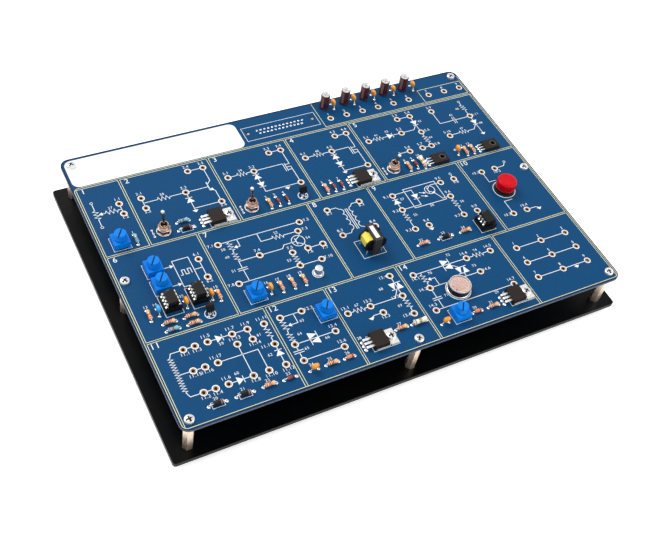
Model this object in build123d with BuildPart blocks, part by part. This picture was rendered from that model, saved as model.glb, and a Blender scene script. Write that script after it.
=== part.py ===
from build123d import *

import os
from math import atan, cos, degrees, radians, sin, tan

os.makedirs("parts", exist_ok=True)

# Power electronics training module: a printed board on hex pillars over a base plate.
# Millimetres, +Z up, origin on the surface that the feet stand on, under the plates' centre.

# Plates, pillars and feet
BOARD_LENGTH = 290.0
BOARD_WIDTH = 204.0
BOARD_THICKNESS = 1.6
BOARD_CORNER = 5.5
BASE_OVERHANG_SIDE = 5.0
BASE_OVERHANG_END = 2.0
BASE_THICKNESS = 3.0
BASE_CORNER = 2.0
PILLAR_HEIGHT = 25.0
PILLAR_FLATS = 5.5
PILLAR_INSET = 6.0
FOOT_HEIGHT = 5.0
FOOT_RADIUS = 4.6
FOOT_TAPER = 8.0
FOOT_GRIP_CLEARANCE = 0.15

# Screws that hold plates, pillars and power devices
THREAD_RADIUS = 1.4
THREAD_CLEARANCE = 0.15
SCREW_HEAD_RADIUS = 2.9
SCREW_HEAD_HEIGHT = 2.1
SCREW_HEAD_TAPER = 16.0
SCREW_REACH = 6.0
NUT_FLATS = 5.5
NUT_HEIGHT = 2.2

# Test sockets, plated holes for 2 mm patch pins
SOCKET_BORE_RADIUS = 1.0

# Sides of the polygons that stand for screws, sleeves and small round bodies
HEX_SIDES = 6
OCT_SIDES = 8
ROUND_SIDES = 12

# Trimmers
TRIMMER_SIDE = 9.6
TRIMMER_BODY_HEIGHT = 4.8
TRIMMER_STANDOFF = 0.6
TRIMMER_FOOT = 1.8
TRIMMER_TOTAL_HEIGHT = 9.4
TRIMMER_TOWER_RADIUS = 3.75
TRIMMER_TOWER_TOP_RADIUS = 3.4
TRIMMER_SLOT_WIDTH = 1.0
TRIMMER_SLOT_DEPTH = 1.2
TRIMMER_STUB_RADIUS = 1.5
TRIMMER_STUB_DEPTH = 2.0
TRIMMER_RUNNING_GAP = 0.15

# Toggle switches
TOGGLE_BODY_WIDTH = 8.0
TOGGLE_BODY_LENGTH = 13.0
TOGGLE_BODY_HEIGHT = 9.0
TOGGLE_FRAME = 0.6
TOGGLE_BUSHING_RADIUS = 3.0
TOGGLE_BUSHING_BORE = 1.95
TOGGLE_BUSHING_RISE = 5.7
TOGGLE_NUT_FLATS = 8.0
TOGGLE_NUT_HEIGHT = 2.0
TOGGLE_PIVOT_RISE = 3.6
TOGGLE_BALL_RADIUS = 1.7
TOGGLE_TAIL_RADIUS = 0.75
TOGGLE_TAIL_LENGTH = 3.2
TOGGLE_NECK_RADIUS = 0.95
TOGGLE_TIP_RADIUS = 1.45
TOGGLE_LEVER_LENGTH = 12.0
TOGGLE_LEAN = 12.0
TOGGLE_TERMINAL_WIDTH = 2.0
TOGGLE_TERMINAL_THICKNESS = 0.8
TOGGLE_TERMINAL_LENGTH = 4.0
TOGGLE_TERMINAL_PITCH = 4.7
TOGGLE_CLEARANCE = 0.1

# Push button
BUTTON_RADIUS = 6.6
BUTTON_PLATE_HEIGHT = 1.5
BUTTON_BOSS_RADIUS = 4.9
BUTTON_BOSS_HEIGHT = 4.0
BUTTON_TRAVEL = 1.0
BUTTON_CLEARANCE = 0.3
BUTTON_CAP_RADIUS = 6.5
BUTTON_CAP_TOP = 9.1
BUTTON_CAP_EDGE = 0.9
BUTTON_SIDES = 20
BUTTON_STEM_RADIUS = 1.6
BUTTON_STEM_CLEARANCE = 0.1
BUTTON_STEM_DEPTH = 1.2
BUTTON_LEG_WIDTH = 0.9
BUTTON_LEG_LENGTH = 3.0
BUTTON_LEG_SPAN = 9.0

# Light sensor
SENSOR_RADIUS = 7.1
SENSOR_HEIGHT = 5.2
SENSOR_WALL = 0.8
SENSOR_FLOOR = 0.6
SENSOR_GLASS = 0.7
SENSOR_GLASS_RECESS = 0.4
SENSOR_CELL_RADIUS = 5.4
SENSOR_CELL_HEIGHT = 2.6
SENSOR_CLEARANCE = 0.05
SENSOR_SIDES = 18

# Power devices that lie flat under a screw
POWER_LENGTH = 9.2
POWER_WIDTH = 10.2
POWER_HEIGHT = 4.5
POWER_BEVEL = 0.5
POWER_TAB_START = 1.0
POWER_TAB_LENGTH = 15.5
POWER_TAB_THICKNESS = 1.3
POWER_TAB_NOTCH = 0.9
POWER_HOLE_OFFSET = 12.6
POWER_HOLE_RADIUS = 1.9
POWER_LEAD_REACH = 4.8
POWER_LEAD_PITCH = 2.54
POWER_LEAD_WIDTH = 0.9
POWER_LEAD_THICKNESS = 0.5
POWER_LEAD_RISE = 2.6
MEDIUM_LENGTH = 10.8
MEDIUM_WIDTH = 7.8
MEDIUM_HEIGHT = 2.7
MEDIUM_HOLE_OFFSET = 7.05
MEDIUM_HOLE_RADIUS = 1.55
MEDIUM_LEAD_REACH = 3.8
MEDIUM_LEAD_PITCH = 2.29
MEDIUM_LEAD_RISE = 1.5

# Small transistors
SMALL_CASE_RADIUS = 2.4
SMALL_CASE_FLAT = 1.3
SMALL_CASE_HEIGHT = 4.7
SMALL_CASE_RISE = 2.6
SMALL_CASE_LEAN = 22.0
SMALL_LEAD_PITCH = 1.27
CAN_RADIUS = 2.4
CAN_FLANGE_RADIUS = 2.8
CAN_FLANGE_HEIGHT = 0.7
CAN_HEIGHT = 5.0

# Chips in sockets
CHIP_WIDTH = 6.4
CHIP_LENGTH = 9.8
CHIP_HEIGHT = 3.3
CHIP_DRAFT = 8.0
CHIP_PIN_ROW = 7.62
CHIP_PIN_PITCH = 2.54
CHIP_PIN_WIDTH = 1.3
CHIP_PIN_THICKNESS = 0.3
CHIP_SOCKET_WIDTH = 10.0
CHIP_SOCKET_LENGTH = 10.4
CHIP_SOCKET_HEIGHT = 4.2
CHIP_SOCKET_RAIL = 2.4
CHIP_SOCKET_END = 1.6
CHIP_GAP = 0.7

# Transformer, core legs in a vertical plane along Y
CORE_LENGTH = 13.6
CORE_HEIGHT = 13.0
CORE_WIDTH = 4.8
CORE_YOKE = 2.0
CORE_LEG = 2.2
CORE_CENTRE_LEG = 3.6
CORE_RISE = 1.2
BOBBIN_WIDTH = 14.0
BOBBIN_FLANGE = 1.0
BOBBIN_WALL = 0.6
BOBBIN_CLEARANCE = 0.05
BOBBIN_CORNER = 2.2
WINDING_WIDTH = 12.4
WINDING_CORNER = 2.0
TRANSFORMER_PIN_WIDTH = 0.6
TRANSFORMER_PIN_PITCH = 5.0

# Capacitors
ELECTROLYTIC_RADIUS = 2.5
ELECTROLYTIC_HEIGHT = 11.5
ELECTROLYTIC_PITCH = 15.5
SUPPLY_CERAMIC_PITCH = 15.8
CERAMIC_WIDTH = 5.2
CERAMIC_HEIGHT = 4.4
CERAMIC_THICKNESS = 2.4
CERAMIC_RISE = 2.2
CERAMIC_CORNER = 1.1
CERAMIC_LEAD_PITCH = 5.08
CERAMIC_LEAD_TOP = 2.7

# Axial parts, bodies that lie between two pads
WIRE = 0.6
AXIAL_RISE = 0.2
RESISTOR_PITCH = 7.62
RESISTOR_LENGTH = 6.0
RESISTOR_RADIUS = 1.25
LARGE_RESISTOR_PITCH = 10.16
LARGE_RESISTOR_LENGTH = 8.4
LARGE_RESISTOR_RADIUS = 1.7
RECTIFIER_PITCH = 10.16
RECTIFIER_LENGTH = 5.2
RECTIFIER_RADIUS = 1.4
ZENER_PITCH = 7.62
ZENER_LENGTH = 4.0
ZENER_RADIUS = 1.0
TRIGGER_PITCH = 6.4
TRIGGER_LENGTH = 4.0
TRIGGER_RADIUS = 1.1

# 25-way port under the rear edge
PORT_FLANGE_HEIGHT = 12.5
PORT_FLANGE_THICKNESS = 1.0
PORT_SHELL_LENGTH = 38.96
PORT_SHELL_HEIGHT = 8.36
PORT_SHELL_DEPTH = 5.9
PORT_SHELL_WALL = 0.5
PORT_SHELL_TAPER = 10.0
PORT_FIXING_MARGIN = 4.04
PORT_FIXING_SPAN = PORT_SHELL_LENGTH + 2 * PORT_FIXING_MARGIN
PORT_FLANGE_MARGIN = 2.98
PORT_FLANGE_LENGTH = PORT_FIXING_SPAN + 2 * PORT_FLANGE_MARGIN
PORT_FIXING_RADIUS = 1.6
PORT_PIN_PITCH = 2.77
PORT_ROW_SPACING = 2.84
PORT_PIN_WIDTH = 0.6
PORT_BLOCK_DEPTH = 4.0
PORT_REAR_CLEARANCE = 0.6
PORT_ROW_REACH = 2.8
PORT_BRACKET_WIDTH = 8.0
PORT_BRACKET_REACH = 12.5
PORT_BRACKET_THICKNESS = 1.0
PORT_BRACKET_HOLE = 7.4
PORT_NUT_FLATS = 5.0
PORT_NUT_LENGTH = 5.0
PORT_TOP_GAP = 0.3
PORT_MOUTH_RECESS = 0.4

# Heights of the stack
BASE_BOTTOM = FOOT_HEIGHT
BASE_TOP = BASE_BOTTOM + BASE_THICKNESS
BOARD_BOTTOM = BASE_TOP + PILLAR_HEIGHT
BOARD_TOP = BOARD_BOTTOM + BOARD_THICKNESS
ALONG_X = (1, 0)
ALONG_Y = (0, 1)


def place(x, y):
    """Centre-based point for one read from the front left corner of a 290 by 204 board."""
    return (x - 145) * BOARD_LENGTH / 290, (y - 102) * BOARD_WIDTH / 204


def places(*points):
    return [place(*point) for point in points]


def corner_radius(apothem, sides):
    """Corner radius of a regular polygon whose flats are one apothem from its centre."""
    return apothem / cos(radians(180 / sides))


def slope(low_radius, high_radius, height, sides):
    """Taper that takes a regular polygon from one corner radius to another over a height."""
    return degrees(atan((low_radius - high_radius) * cos(radians(180 / sides)) / height))


def axis_plane(x, y, height, direction):
    """Plane across a level axis through x, y. Its local Y points up."""
    run, rise = direction
    return Plane(origin=(x, y, height), x_dir=(-rise, run, 0), z_dir=(run, rise, 0))


def side_plane(x, y, height, direction):
    """Upright plane through x, y. Its local X follows the direction and its local Y points up."""
    run, rise = direction
    return Plane(origin=(x, y, height), x_dir=(run, rise, 0), z_dir=(rise, -run, 0))


# Where things stand on the board
PILLAR_PLACES = [
    (side * (BOARD_LENGTH / 2 - PILLAR_INSET), end * (BOARD_WIDTH / 2 - PILLAR_INSET))
    for side in (-1, 1)
    for end in (-1, 0, 1)
]
FOOT_PLACES = [(x, y) for x, y in PILLAR_PLACES if y != 0]
PILLAR_PLACES.append((0, PILLAR_INSET - BOARD_WIDTH / 2))
SUPPLY_SOCKETS = [(180.2 + 12.35 * n, 186.2) for n in range(6)]
SUPPLY_SOCKETS += [(258.5 + 12.85 * n, 186.2) for n in range(3)]
CHANNEL_SOCKETS = [(238.7 + 19.05 * n, y) for n in range(3) for y in (43.5, 31.2, 19)]
GRID_SOCKETS = [(x, y) for x in (19.1, 25.9, 33.3, 47.8, 57, 67.1) for y in (47.4, 18.4)]
PANEL_SOCKETS = [
    (22.8, 158.9), (22.8, 150.6),
    (71.3, 170.9), (81.4, 170.9), (36.5, 158.8), (36.5, 150.4), (63.6, 154.7), (81.4, 140.7),
    (126.4, 169.5), (134.9, 169.5), (92.8, 157.6), (110.6, 157.6), (134.9, 139.2),
    (175, 169.9), (183.5, 169.9), (147.1, 157.7), (166.5, 157.7), (183.5, 138.9),
    (223.9, 170.9), (233.9, 170.9), (194.5, 158), (220, 158), (233.9, 154.7),
    (216.9, 140.9), (226.8, 140.9), (233.9, 140.9), (251.3, 170.4), (251.3, 145.1), (275.7, 157.9),
    (50.8, 103.1), (50.8, 89.2),
    (65.5, 109.1), (119.1, 109.1), (115.2, 102.9), (85.5, 93.5), (104.8, 88.7), (115, 88.7),
    (125.1, 88.7), (104.8, 78.2), (119.1, 78.2), (65.5, 78.2),
    (139.8, 112), (162.6, 112), (139.8, 90.4), (162.6, 90.4),
    (185.4, 108.9), (221.8, 108.9), (232, 108.9), (185.4, 96.2), (221.8, 96.2),
    (185.4, 79.4), (195.5, 79.4), (221.8, 79.4), (232, 79.4),
    (253.7, 108), (264.2, 108), (253.7, 69), (264.2, 69),
    (47.8, 40.2), (57, 40.2), (19.1, 32.9), (25.9, 32.9), (33.3, 32.9), (67.1, 32.9),
    (77.3, 47.8), (90.7, 47.8), (77.3, 28.4), (102.7, 28.4), (77.3, 17.1), (102.7, 17.1),
    (151.6, 52.3), (115, 36.6), (129.9, 36.6), (151.6, 36.6), (134.8, 30), (151.6, 22.9),
    (165.3, 47.7), (203.6, 47.7), (221.4, 47.7), (170.1, 35.7), (206.3, 35.7), (165.1, 20), (221, 20),
]
ALL_SOCKETS = places(*SUPPLY_SOCKETS, *CHANNEL_SOCKETS, *GRID_SOCKETS, *PANEL_SOCKETS)
GAUGE_SOCKETS = [place(*SUPPLY_SOCKETS[0]), place(*CHANNEL_SOCKETS[0])]
PLAIN_SOCKETS = [spot for spot in ALL_SOCKETS if spot not in GAUGE_SOCKETS]

TRIMMER_PLACES = places(
    (13.2, 129.6), (23.7, 104.3), (23.7, 91.5), (71.3, 67.4), (102.8, 41.5), (176.5, 12.2),
)
TOGGLE_PLACES = places((39.9, 130), (96.7, 130), (198, 130))
TOGGLE_SIDES = [1, 1, -1]
BUTTON_PLACE = place(259.5, 89.4)
SENSOR_PLACE = place(185.9, 28.8)
POWER_PLACES = places((68.3, 128.4), (168.9, 128.6), (117.6, 13), (211.2, 11.6))
MEDIUM_PLACES = places((226.6, 127.4), (267.2, 127.4))
SMALL_CASE_PLACES = places((131, 128.3), (42, 64.4))
CAN_PLACE = place(112.1, 69.3)
TIMER_PLACES = places((23.9, 78), (40.3, 78))
ISOLATOR_PLACE = place(229.9, 67.5)
TRANSFORMER_PLACE = place(151.3, 76.2)
ELECTROLYTIC_PLACES = places(*[(180.5 + ELECTROLYTIC_PITCH * n, 197.5) for n in range(5)])
SUPPLY_CERAMICS = places(*[(186.8 + SUPPLY_CERAMIC_PITCH * n, 196.3) for n in range(5)])
BOARD_CERAMICS = places((247.2, 129.5), (31.9, 75.1), (47.2, 75.5), (15.6, 75.2), (80.2, 67.5))
LEVEL_CERAMICS = places((79.9, 9.3), (165.3, 9.8))
RESISTORS_ALONG_Y = places(
    (22.5, 129), (108.3, 128.8), (147.4, 128.4), (208.6, 128.4), (253.3, 128.5), (258.8, 128.5),
    (10.2, 74.8), (51.5, 74.5), (87.3, 67.5), (94.7, 67.5), (102, 67.5),
)
RESISTORS_ALONG_X = places(
    (53.2, 132.9), (19, 66.5), (31.5, 66.5), (19, 61.4), (31.5, 61.4), (184, 66.9), (215, 66.9),
    (53.4, 9.6), (91.1, 9.5), (139.4, 16.2), (199.4, 10.2),
)
LARGE_RESISTORS_ALONG_Y = places((219.2, 128.7))
LARGE_RESISTORS_ALONG_X = places((151.2, 16))
RECTIFIERS_ALONG_X = places((53.2, 126.9), (200.2, 66.9), (23.3, 9.2), (38.9, 9.2))
ZENERS_ALONG_Y = places((114.1, 129), (120.1, 129), (152.9, 128.4), (158.5, 128.4), (214.1, 128.8))
ZENERS_ALONG_X = places((65.5, 9.4))
TRIGGERS_ALONG_X = places((102, 9.5), (187.9, 10.2))
PORT_CENTRE = place(144.3, 204)


# Holes that a thread passes, and the hole that grips a bushing
SCREW_HOLE_RADIUS = corner_radius(THREAD_RADIUS + THREAD_CLEARANCE, HEX_SIDES)
BUSHING_HOLE_RADIUS = corner_radius(TOGGLE_BUSHING_RADIUS + TOGGLE_CLEARANCE, OCT_SIDES)
POWER_SCREW_PLACES = [(x + POWER_HOLE_OFFSET, y) for x, y in POWER_PLACES]
PORT_MOUTH = PORT_CENTRE[1] + PORT_REAR_CLEARANCE
PORT_FLANGE_BACK = PORT_MOUTH - PORT_SHELL_DEPTH - PORT_FLANGE_THICKNESS
PORT_FIXING_PLACES = [
    (PORT_CENTRE[0] + side * PORT_FIXING_SPAN / 2, PORT_FLANGE_BACK - PORT_BRACKET_HOLE)
    for side in (-1, 1)
]

# Front board, with its sockets as plated holes
with BuildPart() as front_board:
    with BuildSketch(Plane.XY.offset(BOARD_BOTTOM)):
        RectangleRounded(BOARD_LENGTH, BOARD_WIDTH, BOARD_CORNER)
        with Locations(*PLAIN_SOCKETS):
            RegularPolygon(SOCKET_BORE_RADIUS, HEX_SIDES, major_radius=False, mode=Mode.SUBTRACT)
        with Locations(*GAUGE_SOCKETS):
            Circle(SOCKET_BORE_RADIUS, mode=Mode.SUBTRACT)
        with Locations(*PILLAR_PLACES, *POWER_SCREW_PLACES):
            RegularPolygon(SCREW_HOLE_RADIUS, HEX_SIDES, mode=Mode.SUBTRACT)
        with Locations(*TOGGLE_PLACES):
            RegularPolygon(BUSHING_HOLE_RADIUS, OCT_SIDES, mode=Mode.SUBTRACT)
        with Locations(*PORT_FIXING_PLACES):
            RegularPolygon(PORT_FIXING_RADIUS, HEX_SIDES, mode=Mode.SUBTRACT)
    extrude(amount=BOARD_THICKNESS)
front_board.part.label = "front_board"
export_step(front_board.part, "parts/front_board.step")

# Base plate with screw holes under the pillars
with BuildPart() as base_plate:
    with BuildSketch(Plane.XY.offset(BASE_BOTTOM)):
        RectangleRounded(
            BOARD_LENGTH + 2 * BASE_OVERHANG_SIDE,
            BOARD_WIDTH + 2 * BASE_OVERHANG_END,
            BASE_CORNER,
        )
        with Locations(*PILLAR_PLACES):
            RegularPolygon(SCREW_HOLE_RADIUS, HEX_SIDES, mode=Mode.SUBTRACT)
    extrude(amount=BASE_THICKNESS)
base_plate.part.label = "base_plate"
export_step(base_plate.part, "parts/base_plate.step")

# Seven hex pillars, open through the middle for a screw from each end
with BuildPart() as pillars:
    with BuildSketch(Plane.XY.offset(BASE_TOP)):
        with Locations(*PILLAR_PLACES):
            RegularPolygon(corner_radius(PILLAR_FLATS / 2, HEX_SIDES), HEX_SIDES)
            RegularPolygon(SCREW_HOLE_RADIUS, HEX_SIDES, mode=Mode.SUBTRACT)
    extrude(amount=PILLAR_HEIGHT)
pillars.part.label = "pillars"
export_step(pillars.part, "parts/pillars.step")

# Pan-head screws from above, through the board into the pillars
with BuildPart() as board_screws:
    with BuildSketch(Plane.XY.offset(BOARD_BOTTOM - SCREW_REACH)):
        with Locations(*PILLAR_PLACES):
            RegularPolygon(THREAD_RADIUS, HEX_SIDES)
    extrude(amount=SCREW_REACH + BOARD_THICKNESS)
    with BuildSketch(Plane.XY.offset(BOARD_TOP)):
        with Locations(*PILLAR_PLACES):
            RegularPolygon(SCREW_HEAD_RADIUS, OCT_SIDES)
    extrude(amount=SCREW_HEAD_HEIGHT, taper=SCREW_HEAD_TAPER)
board_screws.part.label = "board_screws"
export_step(board_screws.part, "parts/board_screws.step")

# The same screws from below, through the base plate
with BuildPart() as base_screws:
    with BuildSketch(Plane.XY.offset(BASE_BOTTOM)):
        with Locations(*PILLAR_PLACES):
            RegularPolygon(THREAD_RADIUS, HEX_SIDES)
    extrude(amount=BASE_THICKNESS + SCREW_REACH)
    with BuildSketch(Plane.XY.offset(BASE_BOTTOM)):
        with Locations(*PILLAR_PLACES):
            RegularPolygon(SCREW_HEAD_RADIUS, OCT_SIDES)
    extrude(amount=-SCREW_HEAD_HEIGHT, taper=SCREW_HEAD_TAPER)
base_screws.part.label = "base_screws"
export_step(base_screws.part, "parts/base_screws.step")

# Rubber feet, each pressed over a corner screw's head and narrower towards the table
with BuildPart() as rubber_feet:
    with BuildSketch(Plane.XY.offset(BASE_BOTTOM)):
        with Locations(*FOOT_PLACES):
            RegularPolygon(FOOT_RADIUS, ROUND_SIDES)
    extrude(amount=-FOOT_HEIGHT, taper=FOOT_TAPER)
    with BuildSketch(Plane.XY.offset(BASE_BOTTOM)):
        with Locations(*FOOT_PLACES):
            RegularPolygon(SCREW_HEAD_RADIUS + FOOT_GRIP_CLEARANCE, OCT_SIDES)
    extrude(amount=-(SCREW_HEAD_HEIGHT + FOOT_GRIP_CLEARANCE), mode=Mode.SUBTRACT)
rubber_feet.part.label = "rubber_feet"
export_step(rubber_feet.part, "parts/rubber_feet.step")

# Trimmer bodies, square, on two feet each, with a blind hole for the tower's stub
with BuildPart() as trimmer_bodies:
    with BuildSketch(Plane.XY.offset(BOARD_TOP + TRIMMER_STANDOFF)):
        with Locations(*TRIMMER_PLACES):
            Rectangle(TRIMMER_SIDE, TRIMMER_SIDE)
    extrude(amount=TRIMMER_BODY_HEIGHT - TRIMMER_STANDOFF)
    foot_shift = (TRIMMER_SIDE - TRIMMER_FOOT) / 2
    with BuildSketch(Plane.XY.offset(BOARD_TOP)):
        with Locations(*[(x + side * foot_shift, y) for x, y in TRIMMER_PLACES for side in (-1, 1)]):
            Rectangle(TRIMMER_FOOT, TRIMMER_SIDE)
    extrude(amount=TRIMMER_STANDOFF)
    with BuildSketch(Plane.XY.offset(BOARD_TOP + TRIMMER_BODY_HEIGHT)):
        with Locations(*TRIMMER_PLACES):
            RegularPolygon(corner_radius(TRIMMER_STUB_RADIUS + TRIMMER_RUNNING_GAP, OCT_SIDES), OCT_SIDES)
    extrude(amount=-(TRIMMER_STUB_DEPTH + TRIMMER_RUNNING_GAP), mode=Mode.SUBTRACT)
trimmer_bodies.part.label = "trimmer_bodies"
export_step(trimmer_bodies.part, "parts/trimmer_bodies.step")

# Trimmer towers, each turns on its stub and has a screwdriver slot
tower_floor = BOARD_TOP + TRIMMER_BODY_HEIGHT + TRIMMER_RUNNING_GAP
tower_height = TRIMMER_TOTAL_HEIGHT - TRIMMER_BODY_HEIGHT - TRIMMER_RUNNING_GAP
tower_slope = slope(TRIMMER_TOWER_RADIUS, TRIMMER_TOWER_TOP_RADIUS, tower_height, ROUND_SIDES)
for number, (x, y) in enumerate(TRIMMER_PLACES, start=1):
    with BuildPart() as rotor:
        with BuildSketch(Plane.XY.offset(tower_floor)):
            with Locations((x, y)):
                RegularPolygon(TRIMMER_TOWER_RADIUS, ROUND_SIDES)
        extrude(amount=tower_height, taper=tower_slope)
        with BuildSketch(Plane.XY.offset(tower_floor)):
            with Locations((x, y)):
                RegularPolygon(TRIMMER_STUB_RADIUS, OCT_SIDES)
        extrude(amount=-TRIMMER_STUB_DEPTH)
        with BuildSketch(Plane.XY.offset(tower_floor + tower_height)):
            with Locations((x, y)):
                Rectangle(2 * TRIMMER_TOWER_RADIUS, TRIMMER_SLOT_WIDTH)
        extrude(amount=-TRIMMER_SLOT_DEPTH, mode=Mode.SUBTRACT)
    rotor.part.label = f"trimmer_rotor_{number}"
    export_step(rotor.part, f"parts/trimmer_rotor_{number}.step")

# Toggle switch bodies under the board, the lever swings along their length
with BuildPart() as toggle_bodies:
    with BuildSketch(Plane.XY.offset(BOARD_BOTTOM - TOGGLE_FRAME)):
        with Locations(*TOGGLE_PLACES):
            Rectangle(TOGGLE_BODY_WIDTH, TOGGLE_BODY_LENGTH)
    extrude(amount=-TOGGLE_BODY_HEIGHT)
toggle_bodies.part.label = "toggle_bodies"
export_step(toggle_bodies.part, "parts/toggle_bodies.step")

# Toggle bushings, a frame plate with a sleeve that comes up through the board
with BuildPart() as toggle_bushings:
    with BuildSketch(Plane.XY.offset(BOARD_BOTTOM - TOGGLE_FRAME)):
        with Locations(*TOGGLE_PLACES):
            Rectangle(TOGGLE_BODY_WIDTH, TOGGLE_BODY_LENGTH)
    extrude(amount=TOGGLE_FRAME)
    with BuildSketch(Plane.XY.offset(BOARD_BOTTOM)):
        with Locations(*TOGGLE_PLACES):
            RegularPolygon(TOGGLE_BUSHING_RADIUS, OCT_SIDES)
    extrude(amount=BOARD_THICKNESS + TOGGLE_BUSHING_RISE)
    with BuildSketch(Plane.XY.offset(BOARD_BOTTOM)):
        with Locations(*TOGGLE_PLACES):
            RegularPolygon(corner_radius(TOGGLE_BUSHING_BORE, OCT_SIDES), OCT_SIDES)
    extrude(amount=BOARD_THICKNESS + TOGGLE_BUSHING_RISE, mode=Mode.SUBTRACT)
toggle_bushings.part.label = "toggle_bushings"
export_step(toggle_bushings.part, "parts/toggle_bushings.step")

# Hex nuts that clamp the board on the bushings
with BuildPart() as toggle_nuts:
    with BuildSketch(Plane.XY.offset(BOARD_TOP)):
        with Locations(*TOGGLE_PLACES):
            RegularPolygon(corner_radius(TOGGLE_NUT_FLATS / 2, HEX_SIDES), HEX_SIDES)
            RegularPolygon(BUSHING_HOLE_RADIUS, OCT_SIDES, mode=Mode.SUBTRACT)
    extrude(amount=TOGGLE_NUT_HEIGHT)
toggle_nuts.part.label = "toggle_nuts"
export_step(toggle_nuts.part, "parts/toggle_nuts.step")

# Three solder blades under each toggle body
with BuildPart() as toggle_terminals:
    with BuildSketch(Plane.XY.offset(BOARD_BOTTOM - TOGGLE_FRAME - TOGGLE_BODY_HEIGHT)):
        with Locations(*[(x, y + n * TOGGLE_TERMINAL_PITCH) for x, y in TOGGLE_PLACES for n in (-1, 0, 1)]):
            Rectangle(TOGGLE_TERMINAL_WIDTH, TOGGLE_TERMINAL_THICKNESS)
    extrude(amount=-TOGGLE_TERMINAL_LENGTH)
toggle_terminals.part.label = "toggle_terminals"
export_step(toggle_terminals.part, "parts/toggle_terminals.step")

# Toggle levers, tapered bats on a pivot ball, each leans against its stop
LEVER_STATIONS = [
    (-TOGGLE_TAIL_LENGTH, TOGGLE_TAIL_RADIUS),
    (-0.9 * TOGGLE_BALL_RADIUS, TOGGLE_TAIL_RADIUS),
    (0, TOGGLE_BALL_RADIUS),
    (0.85 * TOGGLE_BALL_RADIUS, TOGGLE_NECK_RADIUS),
    (TOGGLE_LEVER_LENGTH - 1.6 * TOGGLE_TIP_RADIUS, TOGGLE_TIP_RADIUS),
    (TOGGLE_LEVER_LENGTH - 0.5 * TOGGLE_TIP_RADIUS, TOGGLE_TIP_RADIUS),
    (TOGGLE_LEVER_LENGTH, 0.5 * TOGGLE_TIP_RADIUS),
]
for number, ((x, y), side) in enumerate(zip(TOGGLE_PLACES, TOGGLE_SIDES), start=1):
    lean = radians(side * TOGGLE_LEAN)
    pivot = Plane(
        origin=(x, y, BOARD_TOP + TOGGLE_PIVOT_RISE),
        x_dir=(1, 0, 0),
        z_dir=(0, sin(lean), cos(lean)),
    )
    with BuildPart() as lever:
        for (low, low_radius), (high, high_radius) in zip(LEVER_STATIONS, LEVER_STATIONS[1:]):
            with BuildSketch(pivot.offset(low)):
                RegularPolygon(low_radius, OCT_SIDES)
            extrude(amount=high - low, taper=slope(low_radius, high_radius, high - low, OCT_SIDES))
    lever.part.label = f"toggle_lever_{number}"
    export_step(lever.part, f"parts/toggle_lever_{number}.step")

# Push button housing, a round plate with a boss that guides the cap's stem
with BuildPart() as button_housing:
    with BuildSketch(Plane.XY.offset(BOARD_TOP)):
        with Locations(BUTTON_PLACE):
            RegularPolygon(BUTTON_RADIUS, BUTTON_SIDES)
    extrude(amount=BUTTON_PLATE_HEIGHT)
    with BuildSketch(Plane.XY.offset(BOARD_TOP + BUTTON_PLATE_HEIGHT)):
        with Locations(BUTTON_PLACE):
            RegularPolygon(BUTTON_BOSS_RADIUS, BUTTON_SIDES)
    extrude(amount=BUTTON_BOSS_HEIGHT - BUTTON_PLATE_HEIGHT)
    with BuildSketch(Plane.XY.offset(BOARD_TOP + BUTTON_BOSS_HEIGHT)):
        with Locations(BUTTON_PLACE):
            RegularPolygon(corner_radius(BUTTON_STEM_RADIUS + BUTTON_STEM_CLEARANCE, OCT_SIDES), OCT_SIDES)
    extrude(amount=-(BUTTON_STEM_DEPTH + BUTTON_TRAVEL + BUTTON_CLEARANCE), mode=Mode.SUBTRACT)
button_housing.part.label = "button_housing"
export_step(button_housing.part, "parts/button_housing.step")

# Push button cap, hollow, with a rounded edge and a stem under its roof
cap_floor = BOARD_TOP + BUTTON_PLATE_HEIGHT + BUTTON_TRAVEL + BUTTON_CLEARANCE
cap_roof = BOARD_TOP + BUTTON_BOSS_HEIGHT + BUTTON_TRAVEL + BUTTON_CLEARANCE
cap_top = BOARD_TOP + BUTTON_CAP_TOP
with BuildPart() as button_cap:
    with BuildSketch(Plane.XY.offset(cap_floor)):
        with Locations(BUTTON_PLACE):
            RegularPolygon(BUTTON_CAP_RADIUS, BUTTON_SIDES)
    extrude(amount=cap_top - cap_floor)
    chamfer(button_cap.faces().sort_by(Axis.Z)[-1].edges(), BUTTON_CAP_EDGE)
    with BuildSketch(Plane.XY.offset(cap_floor)):
        with Locations(BUTTON_PLACE):
            RegularPolygon(corner_radius(BUTTON_BOSS_RADIUS + BUTTON_CLEARANCE, BUTTON_SIDES), BUTTON_SIDES)
    extrude(amount=cap_roof - cap_floor, mode=Mode.SUBTRACT)
    with BuildSketch(Plane.XY.offset(cap_roof)):
        with Locations(BUTTON_PLACE):
            RegularPolygon(BUTTON_STEM_RADIUS, OCT_SIDES)
    extrude(amount=-(BUTTON_TRAVEL + BUTTON_CLEARANCE + BUTTON_STEM_DEPTH))
button_cap.part.label = "button_cap"
export_step(button_cap.part, "parts/button_cap.step")

# Solder legs of the push button, under the board
with BuildPart() as button_terminals:
    with BuildSketch(Plane.XY.offset(BOARD_BOTTOM)):
        with Locations(BUTTON_PLACE):
            with GridLocations(BUTTON_LEG_SPAN, BUTTON_LEG_SPAN / 2, 2, 2):
                Rectangle(BUTTON_LEG_WIDTH, BUTTON_LEG_WIDTH / 2)
    extrude(amount=-BUTTON_LEG_LENGTH)
button_terminals.part.label = "button_terminals"
export_step(button_terminals.part, "parts/button_terminals.step")

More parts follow.
